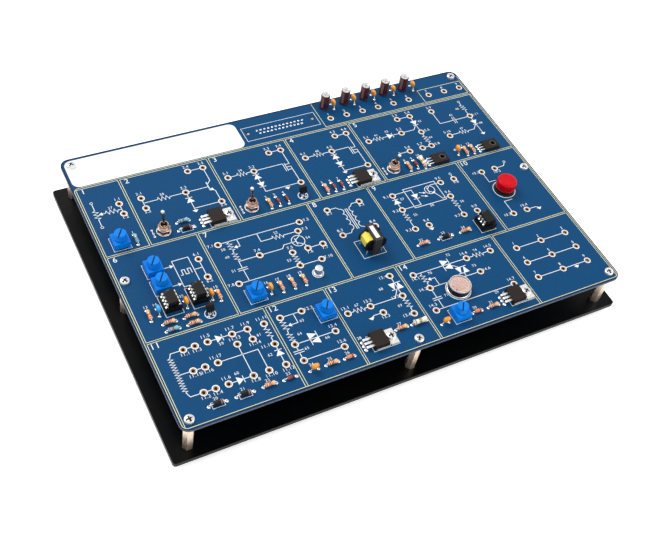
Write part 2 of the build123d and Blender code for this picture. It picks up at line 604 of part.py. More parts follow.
# Light sensor, a metal cup with the cell inside and a glass window in its mouth
with BuildPart() as light_sensor_case:
    with BuildSketch(Plane.XY.offset(BOARD_TOP)):
        with Locations(SENSOR_PLACE):
            RegularPolygon(SENSOR_RADIUS, SENSOR_SIDES)
    extrude(amount=SENSOR_HEIGHT)
    with BuildSketch(Plane.XY.offset(BOARD_TOP + SENSOR_FLOOR)):
        with Locations(SENSOR_PLACE):
            RegularPolygon(SENSOR_RADIUS - SENSOR_WALL, SENSOR_SIDES)
    extrude(amount=SENSOR_HEIGHT - SENSOR_FLOOR, mode=Mode.SUBTRACT)
light_sensor_case.part.label = "light_sensor_case"
export_step(light_sensor_case.part, "parts/light_sensor_case.step")

with BuildPart() as light_sensor_cell:
    with BuildSketch(Plane.XY.offset(BOARD_TOP + SENSOR_FLOOR)):
        with Locations(SENSOR_PLACE):
            RegularPolygon(SENSOR_CELL_RADIUS, SENSOR_SIDES)
    extrude(amount=SENSOR_CELL_HEIGHT)
light_sensor_cell.part.label = "light_sensor_cell"
export_step(light_sensor_cell.part, "parts/light_sensor_cell.step")

with BuildPart() as light_sensor_window:
    with BuildSketch(Plane.XY.offset(BOARD_TOP + SENSOR_HEIGHT - SENSOR_GLASS_RECESS)):
        with Locations(SENSOR_PLACE):
            RegularPolygon(SENSOR_RADIUS - SENSOR_WALL - SENSOR_CLEARANCE, SENSOR_SIDES)
    extrude(amount=-SENSOR_GLASS)
light_sensor_window.part.label = "light_sensor_window"
export_step(light_sensor_window.part, "parts/light_sensor_window.step")


def bent_leads(spots, rise, reach, pitch, width):
    """Three leads a device that leave its front face level and bend down to the board."""
    with BuildPart() as leads:
        for x, y in spots:
            for n in (-1, 0, 1):
                with BuildSketch(side_plane(x, y + n * pitch, BOARD_TOP, ALONG_X)):
                    with BuildLine():
                        Polyline(
                            (0, rise),
                            (-reach, rise),
                            (-reach, 0),
                            (POWER_LEAD_THICKNESS - reach, 0),
                            (POWER_LEAD_THICKNESS - reach, rise - POWER_LEAD_THICKNESS),
                            (0, rise - POWER_LEAD_THICKNESS),
                            close=True,
                        )
                    make_face()
        extrude(amount=width / 2, both=True)
    return leads


# Power devices, moulded bodies over a metal tab
with BuildPart() as power_packages:
    for x, y in POWER_PLACES:
        with BuildSketch(side_plane(x, y, BOARD_TOP, ALONG_X)):
            with BuildLine():
                Polyline(
                    (0, 0),
                    (0, POWER_HEIGHT - POWER_BEVEL),
                    (POWER_BEVEL, POWER_HEIGHT),
                    (POWER_LENGTH - POWER_BEVEL, POWER_HEIGHT),
                    (POWER_LENGTH, POWER_TAB_THICKNESS),
                    (POWER_TAB_START, POWER_TAB_THICKNESS),
                    (POWER_TAB_START, 0),
                    close=True,
                )
            make_face()
    extrude(amount=POWER_WIDTH / 2, both=True)
power_packages.part.label = "power_packages"
export_step(power_packages.part, "parts/power_packages.step")

with BuildPart() as power_tabs:
    tab_length = POWER_TAB_LENGTH - POWER_TAB_START
    with BuildSketch(Plane.XY.offset(BOARD_TOP)):
        with Locations(*[(x + POWER_TAB_START + tab_length / 2, y) for x, y in POWER_PLACES]):
            Rectangle(tab_length, POWER_WIDTH)
        with Locations(*[(x + POWER_LENGTH + POWER_TAB_NOTCH, y + side * POWER_WIDTH / 2)
                         for x, y in POWER_PLACES for side in (-1, 1)]):
            Rectangle(POWER_TAB_NOTCH, POWER_TAB_NOTCH, mode=Mode.SUBTRACT)
        with Locations(*POWER_SCREW_PLACES):
            RegularPolygon(POWER_HOLE_RADIUS, OCT_SIDES, mode=Mode.SUBTRACT)
    extrude(amount=POWER_TAB_THICKNESS)
power_tabs.part.label = "power_tabs"
export_step(power_tabs.part, "parts/power_tabs.step")

power_leads = bent_leads(
    POWER_PLACES, POWER_LEAD_RISE, POWER_LEAD_REACH, POWER_LEAD_PITCH, POWER_LEAD_WIDTH
)
power_leads.part.label = "power_leads"
export_step(power_leads.part, "parts/power_leads.step")

# Screws through the tabs and the board, and their nuts below
with BuildPart() as power_screws:
    with BuildSketch(Plane.XY.offset(BOARD_BOTTOM - NUT_HEIGHT)):
        with Locations(*POWER_SCREW_PLACES):
            RegularPolygon(THREAD_RADIUS, HEX_SIDES)
    extrude(amount=NUT_HEIGHT + BOARD_THICKNESS + POWER_TAB_THICKNESS)
    with BuildSketch(Plane.XY.offset(BOARD_TOP + POWER_TAB_THICKNESS)):
        with Locations(*POWER_SCREW_PLACES):
            RegularPolygon(SCREW_HEAD_RADIUS, OCT_SIDES)
    extrude(amount=SCREW_HEAD_HEIGHT, taper=SCREW_HEAD_TAPER)
power_screws.part.label = "power_screws"
export_step(power_screws.part, "parts/power_screws.step")

with BuildPart() as power_nuts:
    with BuildSketch(Plane.XY.offset(BOARD_BOTTOM)):
        with Locations(*POWER_SCREW_PLACES):
            RegularPolygon(corner_radius(NUT_FLATS / 2, HEX_SIDES), HEX_SIDES)
            RegularPolygon(SCREW_HOLE_RADIUS, HEX_SIDES, mode=Mode.SUBTRACT)
    extrude(amount=-NUT_HEIGHT)
power_nuts.part.label = "power_nuts"
export_step(power_nuts.part, "parts/power_nuts.step")

# Medium devices, flat bodies with a hole through them
with BuildPart() as medium_packages:
    with BuildSketch(Plane.XY.offset(BOARD_TOP)):
        with Locations(*[(x + MEDIUM_LENGTH / 2, y) for x, y in MEDIUM_PLACES]):
            Rectangle(MEDIUM_LENGTH, MEDIUM_WIDTH)
        with Locations(*[(x + MEDIUM_HOLE_OFFSET, y) for x, y in MEDIUM_PLACES]):
            RegularPolygon(MEDIUM_HOLE_RADIUS, OCT_SIDES, mode=Mode.SUBTRACT)
    extrude(amount=MEDIUM_HEIGHT)
medium_packages.part.label = "medium_packages"
export_step(medium_packages.part, "parts/medium_packages.step")

medium_leads = bent_leads(MEDIUM_PLACES, MEDIUM_LEAD_RISE, MEDIUM_LEAD_REACH, MEDIUM_LEAD_PITCH, WIRE)
medium_leads.part.label = "medium_leads"
export_step(medium_leads.part, "parts/medium_leads.step")

# Small transistors, D-shaped cases that lean back on three leads
small_lean = radians(SMALL_CASE_LEAN)
with BuildPart() as small_transistors:
    for x, y in SMALL_CASE_PLACES:
        tilted = Plane(
            origin=(x, y, BOARD_TOP + SMALL_CASE_RISE),
            x_dir=(1, 0, 0),
            z_dir=(0, sin(small_lean), cos(small_lean)),
        )
        with BuildSketch(tilted):
            RegularPolygon(SMALL_CASE_RADIUS, ROUND_SIDES)
            with Locations((0, -SMALL_CASE_FLAT - SMALL_CASE_RADIUS)):
                Rectangle(2 * SMALL_CASE_RADIUS, 2 * SMALL_CASE_RADIUS, mode=Mode.SUBTRACT)
    extrude(amount=SMALL_CASE_HEIGHT)
small_transistors.part.label = "small_transistors"
export_step(small_transistors.part, "parts/small_transistors.step")

with BuildPart() as small_transistor_leads:
    for x, y in SMALL_CASE_PLACES:
        for n in (-1, 0, 1):
            foot = -abs(n) * SMALL_LEAD_PITCH
            near = SMALL_CASE_RISE + WIRE / 2 * tan(small_lean)
            far = SMALL_CASE_RISE - WIRE / 2 * tan(small_lean)
            with BuildSketch(side_plane(x + n * SMALL_LEAD_PITCH, y, BOARD_TOP, ALONG_Y)):
                with BuildLine():
                    Polyline(
                        (foot - WIRE / 2, 0),
                        (foot + WIRE / 2, 0),
                        (WIRE / 2, far),
                        (-WIRE / 2, near),
                        close=True,
                    )
                make_face()
    extrude(amount=WIRE / 2, both=True)
small_transistor_leads.part.label = "small_transistor_leads"
export_step(small_transistor_leads.part, "parts/small_transistor_leads.step")

# Metal can transistor with a flange at its foot
with BuildPart() as metal_can_transistor:
    with BuildSketch(Plane.XY.offset(BOARD_TOP)):
        with Locations(CAN_PLACE):
            RegularPolygon(CAN_FLANGE_RADIUS, ROUND_SIDES)
    extrude(amount=CAN_FLANGE_HEIGHT)
    with BuildSketch(Plane.XY.offset(BOARD_TOP + CAN_FLANGE_HEIGHT)):
        with Locations(CAN_PLACE):
            RegularPolygon(CAN_RADIUS, ROUND_SIDES)
    extrude(amount=CAN_HEIGHT - CAN_FLANGE_HEIGHT)
metal_can_transistor.part.label = "metal_can_transistor"
export_step(metal_can_transistor.part, "parts/metal_can_transistor.step")

# Chip sockets, open frames on the board
CHIP_PLACES = TIMER_PLACES + [ISOLATOR_PLACE]
with BuildPart() as chip_sockets:
    with BuildSketch(Plane.XY.offset(BOARD_TOP)):
        with Locations(*CHIP_PLACES):
            Rectangle(CHIP_SOCKET_WIDTH, CHIP_SOCKET_LENGTH)
            Rectangle(
                CHIP_SOCKET_WIDTH - 2 * CHIP_SOCKET_RAIL,
                CHIP_SOCKET_LENGTH - 2 * CHIP_SOCKET_END,
                mode=Mode.SUBTRACT,
            )
    extrude(amount=CHIP_SOCKET_HEIGHT)
chip_sockets.part.label = "chip_sockets"
export_step(chip_sockets.part, "parts/chip_sockets.step")

# Chips, drafted above and below the line where their pins come out
chip_middle = BOARD_TOP + CHIP_SOCKET_HEIGHT + CHIP_GAP + CHIP_HEIGHT / 2


def chip_bodies(spots):
    """Chip bodies over board points, with draft both ways from the parting line."""
    with BuildPart() as bodies:
        for direction in (-1, 1):
            with BuildSketch(Plane.XY.offset(chip_middle)):
                with Locations(*spots):
                    Rectangle(CHIP_WIDTH, CHIP_LENGTH)
            extrude(amount=direction * CHIP_HEIGHT / 2, taper=CHIP_DRAFT)
    return bodies


timer_chips = chip_bodies(TIMER_PLACES)
timer_chips.part.label = "timer_chips"
export_step(timer_chips.part, "parts/timer_chips.step")

isolator_chip = chip_bodies([ISOLATOR_PLACE])
isolator_chip.part.label = "isolator_chip"
export_step(isolator_chip.part, "parts/isolator_chip.step")

# Chip pins, out of the parting line and down into the sockets
with BuildPart() as chip_pins:
    pin_floor = BOARD_TOP + CHIP_SOCKET_HEIGHT
    pin_rise = chip_middle - pin_floor
    half_body = CHIP_WIDTH / 2
    half_row = CHIP_PIN_ROW / 2
    pin_places = [
        (x, y + (n - 1.5) * CHIP_PIN_PITCH) for x, y in TIMER_PLACES for n in range(4)
    ] + [(ISOLATOR_PLACE[0], ISOLATOR_PLACE[1] + n * CHIP_PIN_PITCH) for n in (-1, 0, 1)]
    for x, y in pin_places:
        for side in (-1, 1):
            with BuildSketch(side_plane(x, y, pin_floor, ALONG_X)):
                with BuildLine():
                    Polyline(
                        (side * half_body, pin_rise + CHIP_PIN_THICKNESS / 2),
                        (side * (half_row + CHIP_PIN_THICKNESS / 2), pin_rise + CHIP_PIN_THICKNESS / 2),
                        (side * (half_row + CHIP_PIN_THICKNESS / 2), 0),
                        (side * (half_row - CHIP_PIN_THICKNESS / 2), 0),
                        (side * (half_row - CHIP_PIN_THICKNESS / 2), pin_rise - CHIP_PIN_THICKNESS / 2),
                        (side * half_body, pin_rise - CHIP_PIN_THICKNESS / 2),
                        close=True,
                    )
                make_face()
    extrude(amount=CHIP_PIN_WIDTH / 2, both=True)
chip_pins.part.label = "chip_pins"
export_step(chip_pins.part, "parts/chip_pins.step")

# Transformer core, two windows either side of its centre leg
core_x, core_y = TRANSFORMER_PLACE
core_middle = BOARD_TOP + CORE_RISE + CORE_HEIGHT / 2
window_height = (CORE_HEIGHT - CORE_CENTRE_LEG) / 2 - CORE_LEG
window_length = CORE_LENGTH - 2 * CORE_YOKE
window_shift = (window_height + CORE_CENTRE_LEG) / 2
with BuildPart() as transformer_core:
    with BuildSketch(side_plane(core_x, core_y, core_middle, ALONG_Y)):
        Rectangle(CORE_LENGTH, CORE_HEIGHT)
        with Locations((0, -window_shift), (0, window_shift)):
            Rectangle(window_length, window_height, mode=Mode.SUBTRACT)
    extrude(amount=CORE_WIDTH / 2, both=True)
transformer_core.part.label = "transformer_core"
export_step(transformer_core.part, "parts/transformer_core.step")

# Bobbin, a square tube on the centre leg with an arched flange at each end
tube_width = CORE_WIDTH + 2 * BOBBIN_CLEARANCE
tube_height = CORE_CENTRE_LEG + 2 * BOBBIN_CLEARANCE
flange_height = 2 * window_height + CORE_CENTRE_LEG - 2 * BOBBIN_CLEARANCE
bobbin_length = window_length - 2 * BOBBIN_CLEARANCE
with BuildPart() as transformer_bobbin:
    with BuildSketch(axis_plane(core_x, core_y, core_middle, ALONG_Y)):
        Rectangle(tube_width + 2 * BOBBIN_WALL, tube_height + 2 * BOBBIN_WALL)
        Rectangle(tube_width, tube_height, mode=Mode.SUBTRACT)
    extrude(amount=bobbin_length / 2, both=True)
    for side in (-1, 1):
        flange_y = core_y + side * bobbin_length / 2
        with BuildSketch(axis_plane(core_x, flange_y, core_middle, ALONG_Y)) as flange:
            Rectangle(BOBBIN_WIDTH, flange_height)
            chamfer(flange.vertices(), BOBBIN_CORNER)
            Rectangle(tube_width, tube_height, mode=Mode.SUBTRACT)
        extrude(amount=-side * BOBBIN_FLANGE)
transformer_bobbin.part.label = "transformer_bobbin"
export_step(transformer_bobbin.part, "parts/transformer_bobbin.step")

# Winding, taped, between the flanges
with BuildPart() as transformer_winding:
    with BuildSketch(axis_plane(core_x, core_y, core_middle, ALONG_Y)) as turns:
        Rectangle(WINDING_WIDTH, flange_height - 2 * BOBBIN_CLEARANCE)
        chamfer(turns.vertices(), WINDING_CORNER)
        Rectangle(tube_width + 2 * BOBBIN_WALL, tube_height + 2 * BOBBIN_WALL, mode=Mode.SUBTRACT)
    extrude(amount=bobbin_length / 2 - BOBBIN_FLANGE, both=True)
transformer_winding.part.label = "transformer_winding"
export_step(transformer_winding.part, "parts/transformer_winding.step")

# Transformer pins, from the board up to the bobbin's flanges
flange_bottom = core_middle - flange_height / 2
with BuildPart() as transformer_pins:
    with BuildSketch(Plane.XY.offset(BOARD_TOP)):
        with Locations(TRANSFORMER_PLACE):
            with GridLocations(TRANSFORMER_PIN_PITCH * 2, bobbin_length - BOBBIN_FLANGE, 2, 2):
                Rectangle(TRANSFORMER_PIN_WIDTH, TRANSFORMER_PIN_WIDTH)
    extrude(amount=flange_bottom - BOARD_TOP)
transformer_pins.part.label = "transformer_pins"
export_step(transformer_pins.part, "parts/transformer_pins.step")

# Upright electrolytic capacitors at the supply sockets
with BuildPart() as electrolytic_cans:
    with BuildSketch(Plane.XY.offset(BOARD_TOP)):
        with Locations(*ELECTROLYTIC_PLACES):
            RegularPolygon(ELECTROLYTIC_RADIUS, ROUND_SIDES)
    extrude(amount=ELECTROLYTIC_HEIGHT)
electrolytic_cans.part.label = "electrolytic_cans"
export_step(electrolytic_cans.part, "parts/electrolytic_cans.step")

# Ceramic capacitors, flat drops on splayed leads
CERAMICS = [(x, y, ALONG_Y) for x, y in SUPPLY_CERAMICS + BOARD_CERAMICS]
CERAMICS += [(x, y, ALONG_X) for x, y in LEVEL_CERAMICS]
with BuildPart() as ceramic_capacitors:
    for x, y, direction in CERAMICS:
        with BuildSketch(side_plane(x, y, BOARD_TOP + CERAMIC_RISE, direction)) as drop:
            with Locations((0, CERAMIC_HEIGHT / 2)):
                Rectangle(CERAMIC_WIDTH, CERAMIC_HEIGHT)
            chamfer(drop.vertices(), CERAMIC_CORNER)
    extrude(amount=CERAMIC_THICKNESS / 2, both=True)
ceramic_capacitors.part.label = "ceramic_capacitors"
export_step(ceramic_capacitors.part, "parts/ceramic_capacitors.step")

with BuildPart() as ceramic_leads:
    for x, y, direction in CERAMICS:
        with BuildSketch(side_plane(x, y, BOARD_TOP, direction)):
            for side in (-1, 1):
                foot = side * CERAMIC_LEAD_PITCH / 2
                top = side * CERAMIC_LEAD_TOP / 2
                with BuildLine():
                    Polyline(
                        (foot - WIRE / 2, 0),
                        (foot + WIRE / 2, 0),
                        (top + WIRE / 2, CERAMIC_RISE),
                        (top - WIRE / 2, CERAMIC_RISE),
                        close=True,
                    )
                make_face()
    extrude(amount=WIRE / 2, both=True)
ceramic_leads.part.label = "ceramic_leads"
export_step(ceramic_leads.part, "parts/ceramic_leads.step")


def lying_bodies(spots_along_x, spots_along_y, length, radius):
    """Bodies of parts that lie along X or Y over board points."""
    with BuildPart() as bodies:
        for direction, spots in ((ALONG_X, spots_along_x), (ALONG_Y, spots_along_y)):
            for x, y in spots:
                with BuildSketch(axis_plane(x, y, BOARD_TOP + radius + AXIAL_RISE, direction)):
                    RegularPolygon(radius, HEX_SIDES)
        extrude(amount=length / 2, both=True)
    return bodies


# Resistors
resistor_bodies = lying_bodies(RESISTORS_ALONG_X, RESISTORS_ALONG_Y, RESISTOR_LENGTH, RESISTOR_RADIUS)
resistor_bodies.part.label = "resistor_bodies"
export_step(resistor_bodies.part, "parts/resistor_bodies.step")

large_resistor_bodies = lying_bodies(
    LARGE_RESISTORS_ALONG_X, LARGE_RESISTORS_ALONG_Y, LARGE_RESISTOR_LENGTH, LARGE_RESISTOR_RADIUS
)
large_resistor_bodies.part.label = "large_resistor_bodies"
export_step(large_resistor_bodies.part, "parts/large_resistor_bodies.step")

# Diodes
rectifier_diodes = lying_bodies(RECTIFIERS_ALONG_X, [], RECTIFIER_LENGTH, RECTIFIER_RADIUS)
rectifier_diodes.part.label = "rectifier_diodes"
export_step(rectifier_diodes.part, "parts/rectifier_diodes.step")

zener_diodes = lying_bodies(ZENERS_ALONG_X, ZENERS_ALONG_Y, ZENER_LENGTH, ZENER_RADIUS)
zener_diodes.part.label = "zener_diodes"
export_step(zener_diodes.part, "parts/zener_diodes.step")

trigger_diodes = lying_bodies(TRIGGERS_ALONG_X, [], TRIGGER_LENGTH, TRIGGER_RADIUS)
trigger_diodes.part.label = "trigger_diodes"
export_step(trigger_diodes.part, "parts/trigger_diodes.step")

# Bent wires of all lying parts, each from a body's end down to its pad
LYING_KINDS = [
    (RESISTORS_ALONG_X, ALONG_X, RESISTOR_PITCH, RESISTOR_LENGTH, RESISTOR_RADIUS),
    (RESISTORS_ALONG_Y, ALONG_Y, RESISTOR_PITCH, RESISTOR_LENGTH, RESISTOR_RADIUS),
    (LARGE_RESISTORS_ALONG_X, ALONG_X, LARGE_RESISTOR_PITCH, LARGE_RESISTOR_LENGTH, LARGE_RESISTOR_RADIUS),
    (LARGE_RESISTORS_ALONG_Y, ALONG_Y, LARGE_RESISTOR_PITCH, LARGE_RESISTOR_LENGTH, LARGE_RESISTOR_RADIUS),
    (RECTIFIERS_ALONG_X, ALONG_X, RECTIFIER_PITCH, RECTIFIER_LENGTH, RECTIFIER_RADIUS),
    (ZENERS_ALONG_X, ALONG_X, ZENER_PITCH, ZENER_LENGTH, ZENER_RADIUS),
    (ZENERS_ALONG_Y, ALONG_Y, ZENER_PITCH, ZENER_LENGTH, ZENER_RADIUS),
    (TRIGGERS_ALONG_X, ALONG_X, TRIGGER_PITCH, TRIGGER_LENGTH, TRIGGER_RADIUS),
]
with BuildPart() as axial_leads:
    for spots, direction, pitch, length, radius in LYING_KINDS:
        rise = radius + AXIAL_RISE
        for x, y in spots:
            with BuildSketch(side_plane(x, y, BOARD_TOP, direction)):
                for side in (-1, 1):
                    with BuildLine():
                        Polyline(
                            (side * length / 2, rise + WIRE / 2),
                            (side * (pitch + WIRE) / 2, rise + WIRE / 2),
                            (side * (pitch + WIRE) / 2, 0),
                            (side * (pitch - WIRE) / 2, 0),
                            (side * (pitch - WIRE) / 2, rise - WIRE / 2),
                            (side * length / 2, rise - WIRE / 2),
                            close=True,
                        )
                    make_face()
    extrude(amount=WIRE / 2, both=True)
axial_leads.part.label = "axial_leads"
export_step(axial_leads.part, "parts/axial_leads.step")

# 25-way port under the rear edge, its mouth facing back
port_x = PORT_CENTRE[0]
port_z = BOARD_BOTTOM - PORT_TOP_GAP - PORT_FLANGE_HEIGHT / 2
block_front = PORT_FLANGE_BACK - PORT_BLOCK_DEPTH
fixing_spots = [(side * PORT_FIXING_SPAN / 2, 0) for side in (-1, 1)]
with BuildPart() as port_shell:
    with BuildSketch(axis_plane(port_x, PORT_FLANGE_BACK, port_z, ALONG_Y)):
        Rectangle(PORT_FLANGE_LENGTH, PORT_FLANGE_HEIGHT)
        Trapezoid(
            PORT_SHELL_LENGTH - 2 * PORT_SHELL_WALL,
            PORT_SHELL_HEIGHT - 2 * PORT_SHELL_WALL,
            90 - PORT_SHELL_TAPER,
            mode=Mode.SUBTRACT,
        )
        with Locations(*fixing_spots):
            RegularPolygon(SCREW_HOLE_RADIUS, HEX_SIDES, mode=Mode.SUBTRACT)
    extrude(amount=PORT_FLANGE_THICKNESS)
    with BuildSketch(axis_plane(port_x, PORT_FLANGE_BACK + PORT_FLANGE_THICKNESS, port_z, ALONG_Y)):
        Trapezoid(PORT_SHELL_LENGTH, PORT_SHELL_HEIGHT, 90 - PORT_SHELL_TAPER)
        Trapezoid(
            PORT_SHELL_LENGTH - 2 * PORT_SHELL_WALL,
            PORT_SHELL_HEIGHT - 2 * PORT_SHELL_WALL,
            90 - PORT_SHELL_TAPER,
            mode=Mode.SUBTRACT,
        )
    extrude(amount=PORT_SHELL_DEPTH)
port_shell.part.label = "port_shell"
export_step(port_shell.part, "parts/port_shell.step")

# Insulator block that fills the shell and carries the pins
with BuildPart() as port_insulator:
    with BuildSketch(axis_plane(port_x, block_front, port_z, ALONG_Y)):
        Trapezoid(
            PORT_SHELL_LENGTH - 2 * PORT_SHELL_WALL,
            PORT_SHELL_HEIGHT - 2 * PORT_SHELL_WALL,
            90 - PORT_SHELL_TAPER,
        )
    extrude(amount=PORT_MOUTH - PORT_MOUTH_RECESS - block_front)
port_insulator.part.label = "port_insulator"
export_step(port_insulator.part, "parts/port_insulator.step")

# Two rows of right-angle pins, from the block up to the board
with BuildPart() as port_pins:
    for count, level, reach in ((13, 1, PORT_ROW_REACH), (12, -1, 2 * PORT_ROW_REACH)):
        row_z = port_z + level * PORT_ROW_SPACING / 2
        rise = BOARD_BOTTOM - row_z
        for n in range(count):
            x = port_x + (n - (count - 1) / 2) * PORT_PIN_PITCH
            with BuildSketch(side_plane(x, block_front, row_z, ALONG_Y)):
                with BuildLine():
                    Polyline(
                        (0, PORT_PIN_WIDTH / 2),
                        (PORT_PIN_WIDTH - reach, PORT_PIN_WIDTH / 2),
                        (PORT_PIN_WIDTH - reach, rise),
                        (-reach, rise),
                        (-reach, -PORT_PIN_WIDTH / 2),
                        (0, -PORT_PIN_WIDTH / 2),
                        close=True,
                    )
                make_face()
    extrude(amount=PORT_PIN_WIDTH / 2, both=True)
port_pins.part.label = "port_pins"
export_step(port_pins.part, "parts/port_pins.step")

# Angle brackets between the flange and the board
with BuildPart() as port_brackets:
    for side in (-1, 1):
        bracket_x = port_x + side * PORT_FIXING_SPAN / 2
        with BuildSketch(side_plane(bracket_x, PORT_FLANGE_BACK, BOARD_BOTTOM, ALONG_Y)):
            with BuildLine():
                Polyline(
                    (0, 0),
                    (-PORT_BRACKET_REACH, 0),
                    (-PORT_BRACKET_REACH, -PORT_BRACKET_THICKNESS),
                    (-PORT_BRACKET_THICKNESS, -PORT_BRACKET_THICKNESS),
                    (-PORT_BRACKET_THICKNESS, -PORT_FLANGE_HEIGHT),
                    (0, -PORT_FLANGE_HEIGHT),
                    close=True,
                )
            make_face()
    extrude(amount=PORT_BRACKET_WIDTH / 2, both=True)
    with BuildSketch(axis_plane(port_x, PORT_FLANGE_BACK, port_z, ALONG_Y)):
        with Locations(*fixing_spots):
            RegularPolygon(SCREW_HOLE_RADIUS, HEX_SIDES)
    extrude(amount=-PORT_BRACKET_THICKNESS, mode=Mode.SUBTRACT)
port_brackets.part.label = "port_brackets"
export_step(port_brackets.part, "parts/port_brackets.step")

# Hex jack nuts on the flange, either side of the mouth
with BuildPart() as port_jack_nuts:
    with BuildSketch(axis_plane(port_x, PORT_FLANGE_BACK + PORT_FLANGE_THICKNESS, port_z, ALONG_Y)):
        with Locations(*fixing_spots):
            RegularPolygon(corner_radius(PORT_NUT_FLATS / 2, HEX_SIDES), HEX_SIDES)
            RegularPolygon(SCREW_HOLE_RADIUS, HEX_SIDES, mode=Mode.SUBTRACT)
    extrude(amount=PORT_NUT_LENGTH)
port_jack_nuts.part.label = "port_jack_nuts"
export_step(port_jack_nuts.part, "parts/port_jack_nuts.step")
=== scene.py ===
from math import asin, copysign, cos, pi, radians, sin, sqrt

import bmesh
import bpy
from mathutils import Matrix, Vector


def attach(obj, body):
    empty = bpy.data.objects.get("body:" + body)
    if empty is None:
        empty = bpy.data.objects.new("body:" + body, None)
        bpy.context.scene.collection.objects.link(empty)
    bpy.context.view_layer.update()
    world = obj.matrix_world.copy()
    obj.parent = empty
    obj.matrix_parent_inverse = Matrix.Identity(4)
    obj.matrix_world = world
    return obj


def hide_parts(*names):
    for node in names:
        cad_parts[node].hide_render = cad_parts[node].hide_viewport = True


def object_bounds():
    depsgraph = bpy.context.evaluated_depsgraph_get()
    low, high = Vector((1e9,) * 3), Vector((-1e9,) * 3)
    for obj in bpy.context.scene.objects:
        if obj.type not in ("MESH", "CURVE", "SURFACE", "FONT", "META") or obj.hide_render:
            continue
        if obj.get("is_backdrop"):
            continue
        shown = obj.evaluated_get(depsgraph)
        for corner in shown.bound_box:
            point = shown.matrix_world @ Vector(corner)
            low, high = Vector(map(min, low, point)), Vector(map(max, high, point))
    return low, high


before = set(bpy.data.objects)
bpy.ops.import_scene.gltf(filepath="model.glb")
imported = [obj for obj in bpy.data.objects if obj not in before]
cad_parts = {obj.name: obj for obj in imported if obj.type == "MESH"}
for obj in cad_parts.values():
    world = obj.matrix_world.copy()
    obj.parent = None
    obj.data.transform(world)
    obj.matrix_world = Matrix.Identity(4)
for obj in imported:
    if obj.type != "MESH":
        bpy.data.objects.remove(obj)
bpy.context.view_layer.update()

# Everything below is in millimetres in the row frame until make() turns it into metres
MM = 0.001
BASE_BOTTOM = 5.0
BASE_TOP = 8.0
BOARD_BOTTOM = 33.0
BOARD_TOP = 34.6
INK = 0.04


def place(x, y):
    """Row-frame point for one read from the board's front left corner."""
    return (x - 145.0, y - 102.0)


# Materials


def colour(red, green, blue):
    """Linear colour for screen values from 0 to 255."""
    return tuple((v / 255) ** 2.2 for v in (red, green, blue)) + (1.0,)


def finish(name, base, second, rough=0.4, metal=0.0, coat=0.0, grain=900.0, bump=0.05,
           vary=0.08, stretch=(1, 1, 1), specular=0.5, through=0.0, glow=0.0):
    """A shader whose colour, roughness and surface follow a fine noise between two screen colours."""
    made = bpy.data.materials.new(name)
    made.use_nodes = True
    nodes, links = made.node_tree.nodes, made.node_tree.links
    shader = nodes["Principled BSDF"]
    where = nodes.new("ShaderNodeTexCoord")
    mapping = nodes.new("ShaderNodeMapping")
    mapping.inputs["Scale"].default_value = stretch
    links.new(where.outputs["Object"], mapping.inputs["Vector"])
    noise = nodes.new("ShaderNodeTexNoise")
    noise.inputs["Scale"].default_value = grain
    noise.inputs["Detail"].default_value = 4.0
    links.new(mapping.outputs["Vector"], noise.inputs["Vector"])
    ramp = nodes.new("ShaderNodeValToRGB")
    for stop, position, shade in zip(ramp.color_ramp.elements, (0.3, 0.72), (base, second)):
        stop.position = position
        stop.color = colour(*shade)
    links.new(noise.outputs["Fac"], ramp.inputs["Fac"])
    links.new(ramp.outputs["Color"], shader.inputs["Base Color"])
    spread = nodes.new("ShaderNodeMapRange")
    spread.inputs["To Min"].default_value = max(0.02, rough - vary)
    spread.inputs["To Max"].default_value = min(1.0, rough + vary)
    links.new(noise.outputs["Fac"], spread.inputs["Value"])
    links.new(spread.outputs["Result"], shader.inputs["Roughness"])
    relief = nodes.new("ShaderNodeBump")
    relief.inputs["Strength"].default_value = bump
    relief.inputs["Distance"].default_value = 0.0002
    links.new(noise.outputs["Fac"], relief.inputs["Height"])
    links.new(relief.outputs["Normal"], shader.inputs["Normal"])
    for socket, value in (("Metallic", metal), ("Coat Weight", coat), ("Coat Roughness", 0.08),
                          ("Specular IOR Level", specular), ("Transmission Weight", through)):
        shader.inputs[socket].default_value = value
    if glow:
        shader.inputs["Emission Color"].default_value = colour(*base)
        shader.inputs["Emission Strength"].default_value = glow
    return made


MASK = finish("solder_mask", (10, 64, 104), (12, 70, 111), 0.5, bump=0.03, specular=0.12)
MASK_EDGE = finish("laminate_edge", (56, 68, 84), (80, 92, 104), 0.6, grain=700, specular=0.2)
MASK_DARK = finish("bare_border", (14, 34, 62), (18, 42, 74), specular=0.2)
PRINT = finish("print_ink", (222, 226, 228), (236, 238, 238), 0.6, grain=1800, bump=0.1)
PRINT_WARM = finish("print_ink_warm", (230, 226, 166), (240, 236, 184), 0.6, grain=1800, bump=0.1)
PRINT_CREAM = finish("print_ink_cream", (240, 236, 224), (248, 245, 236), 0.6, grain=1800, bump=0.1)
BASE_GLOSS = finish("base_gloss", (7, 7, 8), (12, 11, 10), 0.34, grain=60, bump=0.02, vary=0.05,
                    specular=0.12)
NICKEL = finish("nickel", (232, 206, 182), (244, 224, 204), 0.3, metal=0.9, bump=0.03)
CHROME = finish("bright_plate", (228, 228, 228), (244, 244, 244), 0.3, metal=0.85, grain=1400)
COPPERY = finish("warm_chrome", (186, 148, 128), (226, 196, 178), 0.24, metal=1)
STEM = finish("brown_chrome", (128, 108, 98), (168, 148, 138), 0.2, metal=1)
TIN = finish("tinned", (226, 226, 224), (246, 246, 244), 0.36, metal=0.8, grain=1600, bump=0.08)
SOLDER = finish("solder", (222, 222, 222), (248, 248, 248), 0.26, metal=0.9, grain=2200, bump=0.25)
EYELET = finish("plated_rim", (160, 128, 104), (184, 152, 128), metal=0.5, grain=1500, bump=0.2)
